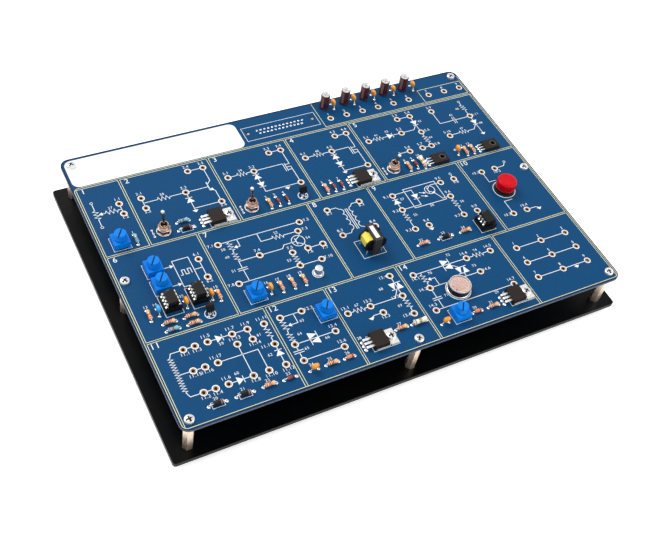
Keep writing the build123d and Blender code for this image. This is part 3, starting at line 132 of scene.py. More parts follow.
# Bore walls in dark brown: painted shade inside the sockets, toggle bushings and port contacts.
HOLE = finish("painted_bore_shade", (66, 44, 28), (84, 58, 38), 0.6)
RUBBER = finish("rubber", (14, 14, 14), (26, 26, 26), 0.75, grain=1200, bump=0.3)
BLUE = finish("blue_plastic", (0, 114, 208), (0, 124, 218), 0.5, grain=700, bump=0.08, specular=0.15)
BLACK = finish("black_plastic", (10, 9, 9), (20, 18, 17), 0.45, grain=1500, bump=0.12, specular=0.28)
EPOXY = finish("moulded_epoxy", (28, 22, 17), (42, 34, 28), 0.55, grain=2600, bump=0.2, specular=0.25)
# Mould marks on packages and chips; also the painted shade of the vent cross on the electrolytic tops.
MARK = finish("moulded_mark_and_vent_shade", (58, 52, 46), (76, 70, 62), 0.35, grain=2600, bump=0.1)
RED = finish("red_plastic", (186, 0, 22), (200, 4, 32), 0.3, coat=0.06, grain=500, bump=0.03, specular=0.12)
# The sensor's ceramic plate glows a little: painted light that brightens it.
CELL = finish("sensor_ceramic_painted_glow", (246, 204, 190), (254, 222, 212), 0.5, glow=0.16)
TRACK = finish("sensor_track", (206, 134, 112), (216, 150, 128), 0.45)
GLASS = finish("window_glass", (250, 250, 250), (255, 255, 255), 0.06, vary=0.02, through=1.0, grain=200,
               bump=0.01)
FERRITE = finish("ferrite", (34, 34, 36), (52, 52, 54), 0.6, grain=2200, bump=0.35)
TAPE = finish("yellow_tape", (232, 214, 60), (244, 230, 96), 0.35, coat=0.2, grain=300, stretch=(1, 8, 1),
              bump=0.08)
PAPER = finish("white_strip", (226, 226, 222), (244, 244, 240), 0.6, grain=800)
SLEEVE = finish("shrink_sleeve", (52, 16, 18), (76, 30, 30), 0.35, coat=0.2, grain=700, bump=0.1)
STRIPE = finish("sleeve_stripe", (118, 84, 78), (140, 104, 96), grain=600)
CAN_TOP = finish("can_aluminium", (226, 226, 226), (244, 244, 244), 0.28, metal=0.9, grain=1800)
AMBER = finish("dipped_coating", (222, 136, 14), (240, 164, 34), 0.32, coat=0.25, grain=420, bump=0.12)
SKY = finish("dipped_blue", (24, 138, 206), (46, 162, 226), 0.32, coat=0.25, grain=420, bump=0.1)
TAN = finish("resistor_tan", (228, 168, 128), (238, 188, 150), 0.38, coat=0.25)
CREAM = finish("resistor_cream", (232, 220, 196), (242, 234, 214), 0.45)
PALE_BLUE = finish("resistor_blue", (96, 178, 200), (118, 194, 212), 0.38, coat=0.25)
BROWN = finish("band_brown", (104, 52, 30), (120, 64, 40), grain=1200)
GOLD = finish("band_gold", (190, 146, 60), (210, 168, 84), 0.3, metal=0.6, grain=1200)
# Dark bands on resistors and diodes; also painted shade on the trimmer slots' floors.
INDIGO = finish("dark_band_and_slot_shade", (30, 30, 36), (44, 44, 52), grain=1200)
RUST = finish("band_red", (186, 40, 26), (204, 58, 40), grain=1200)
AMBER_GLASS = finish("diode_glass", (104, 28, 24), (146, 60, 46), 0.2, coat=0.4, grain=500)
PEACH_GLASS = finish("trigger_glass", (206, 108, 78), (226, 146, 116), 0.2, coat=0.4, grain=500)
PIN_GOLD = finish("contact_gold", (214, 170, 84), (232, 194, 112), 0.25, metal=1, grain=1500)
# Painted shade: a dark finish laid in the screw heads' cross recesses and on the light sensor can's side
# wall.
SHADE = finish("painted_shade", (34, 29, 26), (52, 46, 42), 0.3, metal=0.3, specular=0.4)
FLOOR = finish("floor", (250, 250, 250), (253, 253, 253), 0.95, grain=6, bump=0.0, specular=0.05, glow=0.45)


# Mesh tools


class Shape:
    """Points and faces of one piece, and which of its materials each face has."""

    def __init__(self):
        self.points = []
        self.faces = []
        self.marks = []

    def add(self, points, faces, mark=0):
        start = len(self.points)
        self.points += [tuple(p) for p in points]
        self.faces += [[start + i for i in face] for face in faces]
        self.marks += [mark] * len(faces)


def at(x, y, z=BOARD_TOP, heading=0.0):
    """Upright frame at a point, turned by a heading in degrees."""
    return Matrix.Translation((x, y, z)) @ Matrix.Rotation(radians(heading), 4, "Z")


def lying(x, y, z, heading=0.0):
    """Frame whose own Z lies level along the heading."""
    return at(x, y, z, heading) @ Matrix.Rotation(radians(90), 4, "Y")


def polar(radius, turn, z=0.0):
    return Vector((radius * cos(turn), radius * sin(turn), z))


def skin(shape, points, rings, sides, tint=lambda step, face: 0, capped=False):
    """Faces between neighbouring rings of point numbers. A ring that repeats one number is a tip."""
    base = len(shape.points)
    shape.points += [tuple(p) for p in points]
    faces = []
    for step, (low, high) in enumerate(zip(rings, rings[1:])):
        for k in range(sides):
            after = (k + 1) % len(low)
            face = list(dict.fromkeys((low[k], low[after], high[after], high[k])))
            if len(face) > 2:
                faces.append((face, tint(step, face)))
    if capped:
        faces += [(rings[0][::-1], tint(0, [])), (rings[-1], tint(0, []))]
    shape.faces += [[base + c for c in face] for face, mark in faces]
    shape.marks += [mark for face, mark in faces]


def lathe(shape, where, profile, sides=28, mark=0, marks=None, arc=None):
    """Turns (radius, height) pairs about the frame's Z. Each step may have its own material."""
    start, sweep = arc or (0.0, 2 * pi)
    count = sides + (1 if arc else 0)
    rings, points = [], []
    for radius, height in profile:
        number = count if radius else 1
        rings.append([len(points) + k % number for k in range(count)])
        points += [where @ polar(radius, start + sweep * k / sides, height) for k in range(number)]
    skin(shape, points, rings, sides, lambda step, face: marks[step] if marks else mark)


def loft(shape, where, low, low_z, high, high_z, mark=0):
    """Closed solid between two outlines with the same number of points."""
    count = len(low)
    points = [where @ Vector((x, y, z)) for outline, z in ((low, low_z), (high, high_z)) for x, y in outline]
    rings = [list(range(count)), list(range(count, 2 * count))]
    skin(shape, points, rings, count, lambda step, face: mark, capped=True)


def box(shape, where, xs, ys, zs, mark=0):
    outline = [(xs[0], ys[0]), (xs[1], ys[0]), (xs[1], ys[1]), (xs[0], ys[1])]
    loft(shape, where, outline, zs[0], outline, zs[1], mark)


def rounded(points, bend, steps=5):
    """The path with each inner corner turned into a short curve."""
    points = [Vector(p) for p in points]
    made = [points[0]]
    for before, corner, after in zip(points, points[1:], points[2:]):
        reach = min(bend, (corner - before).length / 2, (after - corner).length / 2)
        start = corner + (before - corner).normalized() * reach
        end = corner + (after - corner).normalized() * reach
        for k in range(steps + 1):
            t = k / steps
            made.append(start * (1 - t) ** 2 + corner * 2 * t * (1 - t) + end * t * t)
    return made + [points[-1]]


def headings(spine):
    """Direction of a path at each of its points."""
    last = len(spine) - 1
    return [(spine[min(k + 1, last)] - spine[max(k - 1, 0)]).normalized() for k in range(last + 1)]


def tube(shape, where, path, radius, bend=0.8, sides=10):
    """Round wire along a path, its corners bent."""
    spine = [where @ p for p in rounded(path, bend)]
    side, points = None, []
    for spot, ahead in zip(spine, headings(spine)):
        side = side or ahead.orthogonal().normalized()
        side = (side - ahead * side.dot(ahead)).normalized()
        other = ahead.cross(side)
        turns = [2 * pi * n / sides for n in range(sides)]
        points += [spot + (side * cos(turn) + other * sin(turn)) * radius for turn in turns]
    rings = [list(range(n, n + sides)) for n in range(0, len(points), sides)]
    skin(shape, points, rings, sides, capped=True)


def strap(shape, where, path, width, thick, bend=0.6):
    """Flat lead along a path in the frame's XZ plane, its width along the frame's Y."""
    spine = rounded([(x, 0, z) for x, z in path], bend)
    points = []
    for k, (spot, ahead) in enumerate(zip(spine, headings(spine))):
        out = Vector((-ahead.z, 0, ahead.x)) * thick / 2
        wide = Vector((0, width(k / (len(spine) - 1)) / 2, 0))
        points += [where @ (spot + a * out + b * wide) for a, b in ((1, -1), (1, 1), (-1, 1), (-1, -1))]
    rings = [list(range(n, n + 4)) for n in range(0, len(points), 4)]
    skin(shape, points, rings, 4, capped=True)


def pillow(shape, where, size, power=3.2, sides=28, rows=14):
    """Rounded block, a superellipsoid of the given width, thickness and height."""
    def swell(value):
        return copysign(abs(value) ** (2 / power), value)
    rings, points = [], []
    for j in range(rows + 1):
        rise = -pi / 2 + pi * j / rows
        number = sides if 0 < j < rows else 1
        wide, tall = swell(cos(rise)) if number > 1 else 0, swell(sin(rise))
        rings.append([len(points) + k % number for k in range(sides)])
        for turn in (2 * pi * k / sides for k in range(number)):
            across, deep = wide * swell(cos(turn)), wide * swell(sin(turn))
            points.append(where @ Vector((size[0] / 2 * across, size[1] / 2 * deep, size[2] / 2 * tall)))
    skin(shape, points, rings, sides)


def ribbon(shape, path, width, height=BOARD_TOP + INK, closed=False, mark=0):
    """Flat printed line along a level path, with mitred corners."""
    path = [Vector(p) for p in path]
    count = len(path)
    points = []
    for k in range(count):
        before = path[k - 1] if closed or k else None
        after = path[(k + 1) % count] if closed or k < count - 1 else None
        into = (path[k] - before).normalized() if before is not None else (after - path[k]).normalized()
        away = (after - path[k]).normalized() if after is not None else into
        along = (into + away).normalized() if (into + away).length > 1e-6 else into
        across = Vector((-along.y, along.x))
        stretch = min(2.0, 1 / max(0.3, across.dot(Vector((-into.y, into.x)))))
        for side in (-1, 1):
            spot = path[k] + across * side * stretch * width / 2
            points.append((spot.x, spot.y, height))
    runs = range(count if closed else count - 1)
    faces = [[2 * k, 2 * ((k + 1) % count), 2 * ((k + 1) % count) + 1, 2 * k + 1] for k in runs]
    shape.add(points, faces, mark)


def round_rect(x0, x1, y0, y1, radius, steps=6):
    """Outline of a rectangle with round corners, anticlockwise."""
    made = []
    for cx, cy, start in ((x1 - radius, y0 + radius, -90), (x1 - radius, y1 - radius, 0),
                          (x0 + radius, y1 - radius, 90), (x0 + radius, y0 + radius, 180)):
        for k in range(steps + 1):
            bend = polar(radius, radians(start + 90 * k / steps))
            made.append((cx + bend.x, cy + bend.y))
    return made


def circle(x, y, radius, sides=28):
    return [tuple((Vector((x, y, 0)) + polar(radius, 2 * pi * k / sides)).xy) for k in range(sides)]


def link(name, data):
    thing = bpy.data.objects.new(name, data)
    bpy.context.scene.collection.objects.link(thing)
    return thing


def mesh_of(curve):
    """Mesh of a curve or a text."""
    holder = link(curve.name, curve)
    bpy.context.view_layer.update()
    mesh = bpy.data.meshes.new_from_object(holder.evaluated_get(bpy.context.evaluated_depsgraph_get()))
    bpy.data.objects.remove(holder)
    return mesh


def make(name, shape, materials, node=None, body="module", edge=0.0):
    """Turns a shape into a piece that rides on a body and may stand for a CAD node."""
    mesh = bpy.data.meshes.new(name)
    mesh.from_pydata([(x * MM, y * MM, z * MM) for x, y, z in shape.points], [], shape.faces)
    for made in materials:
        mesh.materials.append(made)
    mesh.polygons.foreach_set("material_index", shape.marks)
    mesh.validate()
    mesh.shade_smooth()
    mesh.set_sharp_from_angle(angle=radians(38))
    piece = link(name, mesh)
    if edge:
        soften(piece, edge)
    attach(piece, body)
    if node:
        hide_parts(node)


def soften(piece, edge):
    bevel = piece.modifiers.new("edges", "BEVEL")
    bevel.width = edge * MM
    bevel.segments = 2
    bevel.limit_method = "ANGLE"
    bevel.angle_limit = radians(35)
    bevel.use_clamp_overlap = True


def keep(node, material, edge=0.0):
    """A CAD node that shows as it is, with its own finish and softened edges."""
    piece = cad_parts[node]
    piece.data.materials.clear()
    piece.data.materials.append(material)
    for face in piece.data.polygons:
        face.use_smooth = False
    if edge:
        soften(piece, edge)
    return piece


def sheet_of(name, outlines, low, high):
    """Mesh of a plate whose first outline is its edge and the others its holes."""
    curve = bpy.data.curves.new(name, "CURVE")
    curve.dimensions = "2D"
    curve.fill_mode = "BOTH"
    curve.extrude = (high - low) / 2
    for outline in outlines:
        spline = curve.splines.new("POLY")
        spline.points.add(len(outline) - 1)
        for point, (x, y) in zip(spline.points, outline):
            point.co = (x, y, 0, 1)
        spline.use_cyclic_u = True
    mesh = mesh_of(curve)
    work = bmesh.new()
    work.from_mesh(mesh)
    bmesh.ops.remove_doubles(work, verts=work.verts, dist=1e-4)
    bmesh.ops.recalc_face_normals(work, faces=work.faces)
    shape = Shape()
    middle = (low + high) / 2
    for face in work.faces:
        mark = 0 if abs(face.normal.z) > 0.5 else 1
        shape.add([(v.co.x, v.co.y, v.co.z + middle) for v in face.verts], [list(range(len(face.verts)))],
                  mark)
    work.free()
    return shape


# Where things stand on the board
PILLARS = [(x, y) for x in (-139, 139) for y in (-96, 0, 96)] + [(0, -96)]
# Sockets, each with the side of it on which its number is printed, which is the rear unless given
NUMBER_SHIFT = {"n": (0, 3.5), "s": (0, -3.5), "e": (3.6, 0), "w": (-3.6, 0)}
SUPPLY = [(180.2 + 12.35 * n, 186.2) for n in range(6)] + [(258.5 + 12.85 * n, 186.2) for n in range(3)]
CHANNEL = [(238.7 + 19.05 * n, y) for y in (43.5, 31.2, 19) for n in range(3)]
GRID = [(x, y, "n" if y > 30 and x > 30 or x == 33.3 else "s")
        for x in (19.1, 25.9, 33.3, 47.8, 57, 67.1) for y in (47.4, 18.4)]
PANELS = [
    [(22.8, 158.9), (22.8, 150.6, "s")],
    [(36.5, 158.8), (36.5, 150.4, "s"), (63.6, 154.7), (71.3, 170.9), (81.4, 170.9),
     (81.4, 140.7, "s")],
    [(92.8, 157.6), (110.6, 157.6), (126.4, 169.5), (134.9, 169.5), (134.9, 139.2, "")],
    [(147.1, 157.7), (166.5, 157.7), (175, 169.9), (183.5, 169.9), (183.5, 138.9, "")],
    [(194.5, 158), (220, 158), (223.9, 170.9), (233.9, 170.9), (233.9, 154.7, "e"),
     (216.9, 140.9), (226.8, 140.9), (233.9, 140.9, "e"), (251.3, 170.4), (251.3, 145.1),
     (275.7, 157.9, "e")],
    [(50.8, 103.1), (50.8, 89.2, "s")],
    [(65.5, 109.1, "w"), (119.1, 109.1, "e"), (115.2, 102.9, "e"), (85.5, 93.5), (104.8, 88.7),
     (115, 88.7, "s"), (125.1, 88.7, "s"), (65.5, 78.2, "w"), (104.8, 78.2, ""), (119.1, 78.2, "e")],
    [(139.8, 112, "s"), (139.8, 90.4), (162.6, 112, "s"), (162.6, 90.4)],
    [(185.4, 108.9, "w"), (185.4, 96.2, "w"), (185.4, 79.4, "w"), (195.5, 79.4), (221.8, 108.9),
     (221.8, 96.2), (221.8, 79.4, "w"), (232, 108.9, "s"), (232, 79.4)],
    [(253.7, 108, "w"), (264.2, 108, "s"), (253.7, 69, "w"), (264.2, 69)],
    [(47.8, 40.2), (57, 40.2, "s"), (19.1, 32.9, "s"), (25.9, 32.9, "s"), (33.3, 32.9), (67.1, 32.9, "w")],
    [(77.3, 47.8, ""), (90.7, 47.8, "e"), (77.3, 28.4, ""), (102.7, 28.4), (77.3, 17.1, ""), (102.7, 17.1)],
    [(115, 36.6), (129.9, 36.6), (134.8, 30, "s"), (151.6, 52.3, "w"), (151.6, 36.6, "w"),
     (151.6, 22.9, "w")],
    [(165.3, 47.7, "s"), (170.1, 35.7, "w"), (165.1, 20), (203.6, 47.7), (221.4, 47.7),
     (206.3, 35.7, "e"), (221, 20)],
]
PANELS[10] = GRID + PANELS[10]
PANELS += [CHANNEL, SUPPLY]
SOCKETS = [place(*p[:2]) for panel in PANELS for p in panel]
TRIMMERS = [place(*p) for p in ((13.2, 129.6), (23.7, 104.3), (23.7, 91.5), (71.3, 67.4), (102.8, 41.5),
                                (176.5, 12.2))]
TOGGLES = [place(*p) for p in ((39.9, 130), (96.7, 130), (198, 130))]
BUTTON = place(259.5, 89.4)
SENSOR = place(185.9, 28.8)
POWER_HOLE = 12.6
POWER = [place(*p) for p in ((68.3, 128.4), (168.9, 128.6), (117.6, 13), (211.2, 11.6))]
MEDIUM = [place(*p) for p in ((226.6, 127.4), (267.2, 127.4))]
SMALL = [place(*p) for p in ((131, 128.3), (42, 64.4))]
CAN = place(112.1, 69.3)
TIMERS = [place(23.9, 78), place(40.3, 78)]
ISOLATOR = place(229.9, 67.5)
TRANSFORMER = place(151.3, 76.2)
ELECTROLYTICS = [place(180.5 + 15.5 * n, 197.5) for n in range(5)]
CERAMICS = [(*place(186.8 + 15.8 * n, 196.3), 90) for n in range(5)]
CERAMICS += [(*place(*p), 90) for p in ((247.2, 129.5), (31.9, 75.1), (47.2, 75.5), (15.6, 75.2),
                                        (80.2, 67.5))]
CERAMICS += [(*place(*p), 0) for p in ((79.9, 9.3), (165.3, 9.8))]
BLUE_CERAMIC = 8
RECTIFIERS = [(53.2, 126.9), (200.2, 66.9), (23.3, 9.2), (38.9, 9.2)]
PORT_X = -0.7
PORT_PITCH = 2.77
PORT_Z = 26.45
PORT_SCREWS = [(PORT_X + side * 23.52, 88.3) for side in (-1, 1)]

# Front board with its round holes, and the plated rim in every socket
holes = [circle(x, y, radius, sides) for spots, radius, sides in
         ((SOCKETS, 1.0, 18), (PILLARS, 1.75, 20), ([(x + POWER_HOLE, y) for x, y in POWER], 1.75, 20),
          (TOGGLES, 3.15, 24), (PORT_SCREWS, 1.6, 20)) for x, y in spots]
board = sheet_of("front_board_plate", [round_rect(-145, 145, -102, 102, 5.5)] + holes, BOARD_BOTTOM,
                 BOARD_TOP)
make("front_board_plate", board, [MASK, MASK_EDGE], "front_board")

RIM = [(1.66, 0.01), (1.64, 0.06), (1.4, 0.1), (1.1, 0.08), (0.98, 0.0), (0.97, -1.6)]
rims = Shape()
for x, y in SOCKETS:
    # Each socket's bore wall is painted dark as shade.
    lathe(rims, at(x, y), RIM, sides=22, marks=[0, 0, 0, 0, 1])
make("socket_rims", rims, [EYELET, HOLE])

# Print on the board, in millimetres from its front left corner
SOLID_TOP = BOARD_TOP + 1.6 * INK
NUMBER_TOP = BOARD_TOP + 1.3 * INK
THIN = 0.3
FINE = 0.42
prints = Shape()


def trace(points, width=FINE, closed=False, mark=0):
    ribbon(prints, [place(*p) for p in points], width, closed=closed, mark=mark)


def line(*values, width=FINE, mark=0):
    trace(list(zip(values[::2], values[1::2])), width, mark=mark)


def along(y, *xs):
    """Lines along X, each from one value to the next but not on to the third."""
    for start, end in zip(xs[::2], xs[1::2]):
        line(start, y, end, y)


def upright(x, *ys):
    """Lines along Y, in the same way."""
    for start, end in zip(ys[::2], ys[1::2]):
        line(x, start, x, end)


def rectangle(x0, x1, y0, y1, width=THIN, mark=0, bend=0.0):
    path = round_rect(x0, x1, y0, y1, bend) if bend else [(x0, y0), (x1, y0), (x1, y1), (x0, y1)]
    trace(path, width, True, mark)


def ring(x, y, radius, width=FINE, mark=0):
    trace(circle(x, y, radius), width, True, mark)


def solid(*points):
    turn = sum(a[0] * b[1] - b[0] * a[1] for a, b in zip(points, points[1:] + points[:1]))
    points = points if turn > 0 else points[::-1]
    prints.add([(*place(*p), SOLID_TOP) for p in points], [list(range(len(points)))])


def arrow(x, y, heading, length=2.1, half=1.3):
    """Filled triangle with its tip at a point."""
    c, s = cos(radians(heading)), sin(radians(heading))
    solid(*[(x + a * c - b * s, y + a * s + b * c) for a, b in ((0, 0), (-length, half), (-length, -half))])


def diode_sign(x, y, heading):
    """Triangle with a bar across its tip."""
    arrow(x, y, heading, 3.7, 2.5)
    c, s = cos(radians(heading)), sin(radians(heading))
    line(x - 2.2 * s, y + 2.2 * c, x + 2.2 * s, y - 2.2 * c)


def ground(x, y):
    arrow(x, y, -90, 1.9, 1.9)


def zigzag(x, y, run, standing=False, reach=1.6, teeth=6):
    """Resistor sign from a point, over a run along X, or along Y if standing."""
    step = run / teeth
    path = [(0, 0)] + [((n + 0.5) * step, reach * (-1) ** n) for n in range(teeth)] + [(run, 0)]
    trace([(x + b, y + a) if standing else (x + a, y + b) for a, b in path])


def resistors(y, *xs):
    """A lead along X, then resistors and leads in turn."""
    along(y, *xs)
    for start, end in zip(xs[1:-1:2], xs[2::2]):
        zigzag(min(start, end), y, abs(end - start))


def resistors_up(x, *ys):
    upright(x, *ys)
    for start, end in zip(ys[1:-1:2], ys[2::2]):
        zigzag(x, min(start, end), abs(end - start), True)


def plates_sign(x, y, standing=False, reach=3.1):
    """Capacitor sign of two bars."""
    for shift in (0, 1.4):
        if standing:
            upright(x + shift, y - reach, y + reach)
        else:
            along(y + shift, x - reach, x + reach)


def gated_switch(x, top):
    """Field effect transistor sign, left of an upright line."""
    line(x - 4.4, top, x - 4.4, top - 6.8)
    line(x - 3.1, top, x - 3.1, top - 6.8)
    for drop in (1.1, 3.5, 5.9):
        line(x - 3.1, top - drop, x, top - drop)


def clamp_signs(x):
    """Two facing diodes on an upright line."""
    diode_sign(x, 154.4, 90)
    diode_sign(x, 143.6, -90)


def both_ways(x, y, standing=True, wide=2.5, tall=4.2):
    """Sign of a switch that conducts both ways, two triangles head to tail."""
    if standing:
        solid((x - wide, y), (x - wide, y + tall), (x + wide, y + tall / 2))
        solid((x + wide, y), (x + wide, y - tall), (x - wide, y - tall / 2))
        line(x - wide, y + tall, x - wide, y - tall)
        line(x + wide, y + tall, x + wide, y - tall)
    else:
        solid((x, y + wide), (x - tall, y + wide), (x - tall / 2, y - wide))
        solid((x, y - wide), (x + tall, y - wide), (x + tall / 2, y + wide))
        line(x - tall, y + wide, x + tall, y + wide)
        line(x - tall, y - wide, x + tall, y - wide)


def coil(x, y, loops, pitch, reach):
    """Winding sign going up from a point, its loops to one side."""
    for n in range(loops):
        turns = [t * pi / 8 for t in range(9)]
        trace([(x + reach * sin(t), y + (n + 0.5) * pitch - pitch / 2 * cos(t)) for t in turns])


# Numbers are stamped from the plain letter shapes
digits = {}


def digit(mark):
    if mark not in digits:
        curve = bpy.data.curves.new("digit", "FONT")
        curve.body = mark
        curve.align_x = "CENTER"
        curve.align_y = "BOTTOM"
        curve.resolution_u = 3
        mesh = mesh_of(curve)
        digits[mark] = ([(v.co.x, v.co.y - 0.36) for v in mesh.vertices],
                        [list(f.vertices) for f in mesh.polygons])
    return digits[mark]


def number(value, x, y, size=2.9):
    text = str(value)
    widths = [0.3 if mark == "." else 0.56 for mark in text]
    across = x - sum(widths) * size / 2
    for mark, width in zip(text, widths):
        points, faces = digit(mark)
        middle = across + width * size / 2
        across += width * size
        prints.add([(*place(middle + a * size, y + b * size), NUMBER_TOP) for a, b in points], faces)


# Frames of the panels
ROWS = [
    ((122.3, 177.4), (2.4, 28.3, 29.6, 86.2, 87.6, 140.4, 141.7, 187.9, 189.3, 287.7)),
    ((58.6, 121.1), (2.4, 56.6, 57.9, 129.4, 130.6, 172.2, 173.4, 240.8, 242.3, 287.7)),
    ((1.5, 57.4), (2.4, 70.9, 72.4, 109.3, 110.6, 157.2, 158.5, 227.9, 229.3, 287.7)),
]
rectangle(0.6, 289.4, 0.6, 203.4, width=0.9, mark=3, bend=5)
ribbon(prints, [place(*p) for p in round_rect(1.2, 288.9, 1.5, 178.6, 3)], THIN, BOARD_TOP + 1.5 * INK,
       closed=True, mark=1)
line(288.9, 176, 288.9, 198, width=THIN, mark=1)
line(173.4, 203.2, 173.4, 179.8, 251.2, 179.8, width=THIN, mark=1)
rectangle(252.4, 287.7, 179.8, 192.5, mark=1)
rectangle(118, 171.2, 183.2, 195.4)
for shift in (26.6 - 23.5, 26.6 + 23.5):
    ring(118 + shift, 189.8, 0.5, THIN)
panel_number = 0
for (low, high), edges in ROWS:
    for left, right in zip(edges[::2], edges[1::2]):
        panel_number += 1
        rectangle(left, right, low, high, mark=1)
        if panel_number < 15:
            number(panel_number, left + 3.6, high - 3.3, 5.4)
for which, panel in enumerate(PANELS, start=1):
    for n, (x, y, *side) in enumerate(panel, start=1):
        ring(x, y, 1.92, 0.5, mark=2)
        side = side[0] if side else "n"
        if side:
            across, up = NUMBER_SHIFT[side]
            number(f"{which}.{n}" if which < 15 else n, x + across * (1.3 if across else 1), y + up)

# Panels 1 to 5
ring(7.5, 164.4, 0.8, THIN)
ring(7.5, 144.4, 0.8, THIN)
resistors_up(7.5, 163.6, 158, 151, 145.2)
arrow(8.9, 154.4, 180)
resistors(154.4, 11, 13, 20.5, 22.8)
upright(22.8, 157, 152.5)
along(170.9, 73.2, 79.4, 225.9, 231.9)
line(81.3, 169, 81.3, 159.3, 78.4, 156.5)
line(78.4, 158.6, 78.4, 151.4, width=0.6)
line(78.4, 153.2, 81.3, 150.3, 81.3, 142.6)
arrow(80.9, 150.8, -45)
upright(36.5, 156.8, 152.3)
along(154.6, 65.6, 78.4)
resistors(154.6, 36.5, 45.5, 53.2, 61.6)
upright(63.6, 152.8, 139.4)
diode_sign(63.6, 149.8, 90)
along(140.7, 63.6, 79.4)
ground(63.6, 137.4)
for start, middle, drain in ((92.8, 110.5, 134.9), (147.1, 166.3, 183.4)):
    along(157.7, start + 2, start + 6.4)
    zigzag(start + 6.4, 157.7, 6.4)
    along(157.7, start + 12.8, middle - 2, middle + 2, drain - 4.4)
    along(169.8, drain - 6.5, drain - 2)
    upright(drain, 167.8, 156.6)
    gated_switch(drain, 157.7)
    upright(drain, 154.2, 141.2)
    line(middle, 155.7, middle, 139.2, drain - 2, 139.2)
    clamp_signs(middle)
ground(124.8, 136.2)
upright(124.8, 139.2, 138)
ground(166.3, 136.6)
upright(233.7, 168.9, 156.7)
resistors_up(233.7, 152.7, 150.8, 144.2, 142.8)
diode_sign(233.7, 162.2, -90)
line(233.3, 162, 230.2, 158.2, 222, 158.2)
resistors(158.2, 196.5, 198.6, 205.4, 218)
diode_sign(213, 158.2, 0)
line(208.6, 142.2, 209.8, 141, 214.9, 141)
along(140.9, 228.8, 231.9)
line(251, 168.4, 251, 157.7, 262, 157.7)
plates_sign(262, 157.7, True)
along(157.7, 263.4, 273.7)
ring(275.5, 173, 0.8, THIN)
upright(275.5, 155.9, 140.6)
resistors_up(275.5, 172.2, 169.6, 163.8, 159.9)
diode_sign(275.5, 149.6, -90)
ground(275.5, 138.6)
line(253.3, 145.4, 259.5, 145.5)
zigzag(259.5, 145.5, 6.8)
line(266.3, 145.5, 271.4, 145.5, 275.1, 149.4)

# Panels 6 to 10
rectangle(35.6, 45.6, 87, 106.7, FINE)
line(37, 95.2, 38.4, 95.2, 38.4, 98.8, 40.2, 98.8, 40.2, 95.2, 42, 95.2, 42, 98.8, 43.8, 98.8, 43.8, 95.2)
for level in (103.3, 89.6):
    along(level, 28.6, 34)
    arrow(35.4, level, 0)
along(96.8, 45.6, 50.7)
upright(50.7, 101.1, 91.2)
along(109.4, 67.5, 117.1)
upright(72, 86.7, 78.1)
resistors_up(72, 109.4, 108.6, 102.2, 100.4, 94.2, 88.1)
line(77.5, 109.4, 77.5, 104, 75.4, 104)
arrow(73.6, 104, 180)
plates_sign(72, 86.7)
along(93.4, 72, 83.5)
line(87.5, 93.4, 100.4, 93.4, 102.4, 95.8, 110.6, 95.8)
ring(111.9, 95.9, 4.1, FINE)
line(110.6, 98.2, 110.6, 93.4, width=0.6)
line(110.6, 96.8, 114.3, 99.4, 115, 101)
line(110.6, 94.8, 114.6, 92.2, 115, 90.7)
line(90.6, 109.4, 90.6, 102.9, 98, 102.9)
zigzag(98, 102.9, 7.4)
along(102.9, 105.4, 113.2)
upright(104.8, 86.7, 86.4)
zigzag(104.8, 80.4, 6, True)
along(78.1, 67.5, 102.8, 106.8, 117.1)
along(88.7, 117, 123.1)
for side, near in ((-1, 139.8), (1, 162.6)):
    wound = 151.4 + side * 4
    coil(wound, 92.6, 4, 4.4, -side * 2)
    line(near - side * 2, 112, wound + side * 1.6, 112, wound, 110.2)
    line(near - side * 2, 90.5, wound + side * 1.6, 90.5, wound, 92.6)
    upright(151.4 + side * 0.6, 109.4, 92)
line(187.4, 109.4, 199.5, 109.4, 199.5, 96.3, 187.4, 96.3)
diode_sign(199.5, 101.7, -90)
upright(185.3, 106.9, 98.2)
diode_sign(185.3, 105.4, 90)
rectangle(194.3, 217.9, 94.9, 111.5, FINE)
for drop in (0, 2.9):
    line(203.2, 105.8 - drop, 206, 104.6 - drop)
    arrow(207.8, 103.9 - drop, -23, 2.2, 0.8)
ring(211.4, 105.6, 3.4)
line(210.2, 107.8, 210.2, 103.4, width=0.6)
line(210.2, 106.4, 212.2, 108.4, 213.6, 109.2, 219.8, 109.2)
line(210.2, 104.8, 213.2, 102.2, 216, 96.3, 219.8, 96.3)
arrow(213.6, 101.6, -55, 2.0, 1.0)
for x in (185.3, 221.7):
    zigzag(x, 86.2, 6.6, True)
    upright(x, 94.2, 92.8, 86.2, 81.4)
upright(232, 110.9, 112.8)
ring(232, 113.6, 0.8, THIN)
for x in (195.5, 232):
    upright(x, 77.4, 76.6)
    ground(x, 74.8)
line(253.6, 106, 253.6, 98.4, 258.6, 98.4)
line(253.6, 71, 253.6, 80.1, 260, 80.1)
line(266.2, 108, 271.6, 108.2, 273.5, 110.4)
ring(274, 111.3, 0.8, THIN)
line(266.2, 69, 271.4, 69, 273, 67.9)
ground(273, 66)

# Panels 11 to 15
zigzag(10.4, 21.8, 22.8, True, reach=1.35, teeth=26)
line(10.4, 44.6, 11.7, 47.3, 17.1, 47.3)
along(33, 11.6, 17.1)
line(10.4, 21.8, 11.7, 18.5, 17.1, 18.5)
for level in (47.4, 32.9, 18.4):
    along(level, 21.1, 23.9)
along(47.4, 35.3, 45.8, 49.8, 55)
diode_sign(42, 47.4, 0)
upright(57, 45.4, 42.2)
along(18.4, 35.3, 45.8)
diode_sign(42, 18.4, 0)
line(35.3, 33, 56.9, 33, 56.9, 20.4)
upright(47.7, 38.2, 20.4)
upright(67, 30.9, 20.4)
resistors_up(67, 45.4, 44.4, 37.6, 34.9)
diode_sign(67, 28.7, 90)
along(47.8, 79.3, 88.7)
line(85.4, 47.8, 85.4, 41.3, 81, 41.3)
arrow(79.2, 41.3, 180)
zigzag(77.3, 38.6, 6.8, True)
zigzag(77.3, 30.6, 6, True)
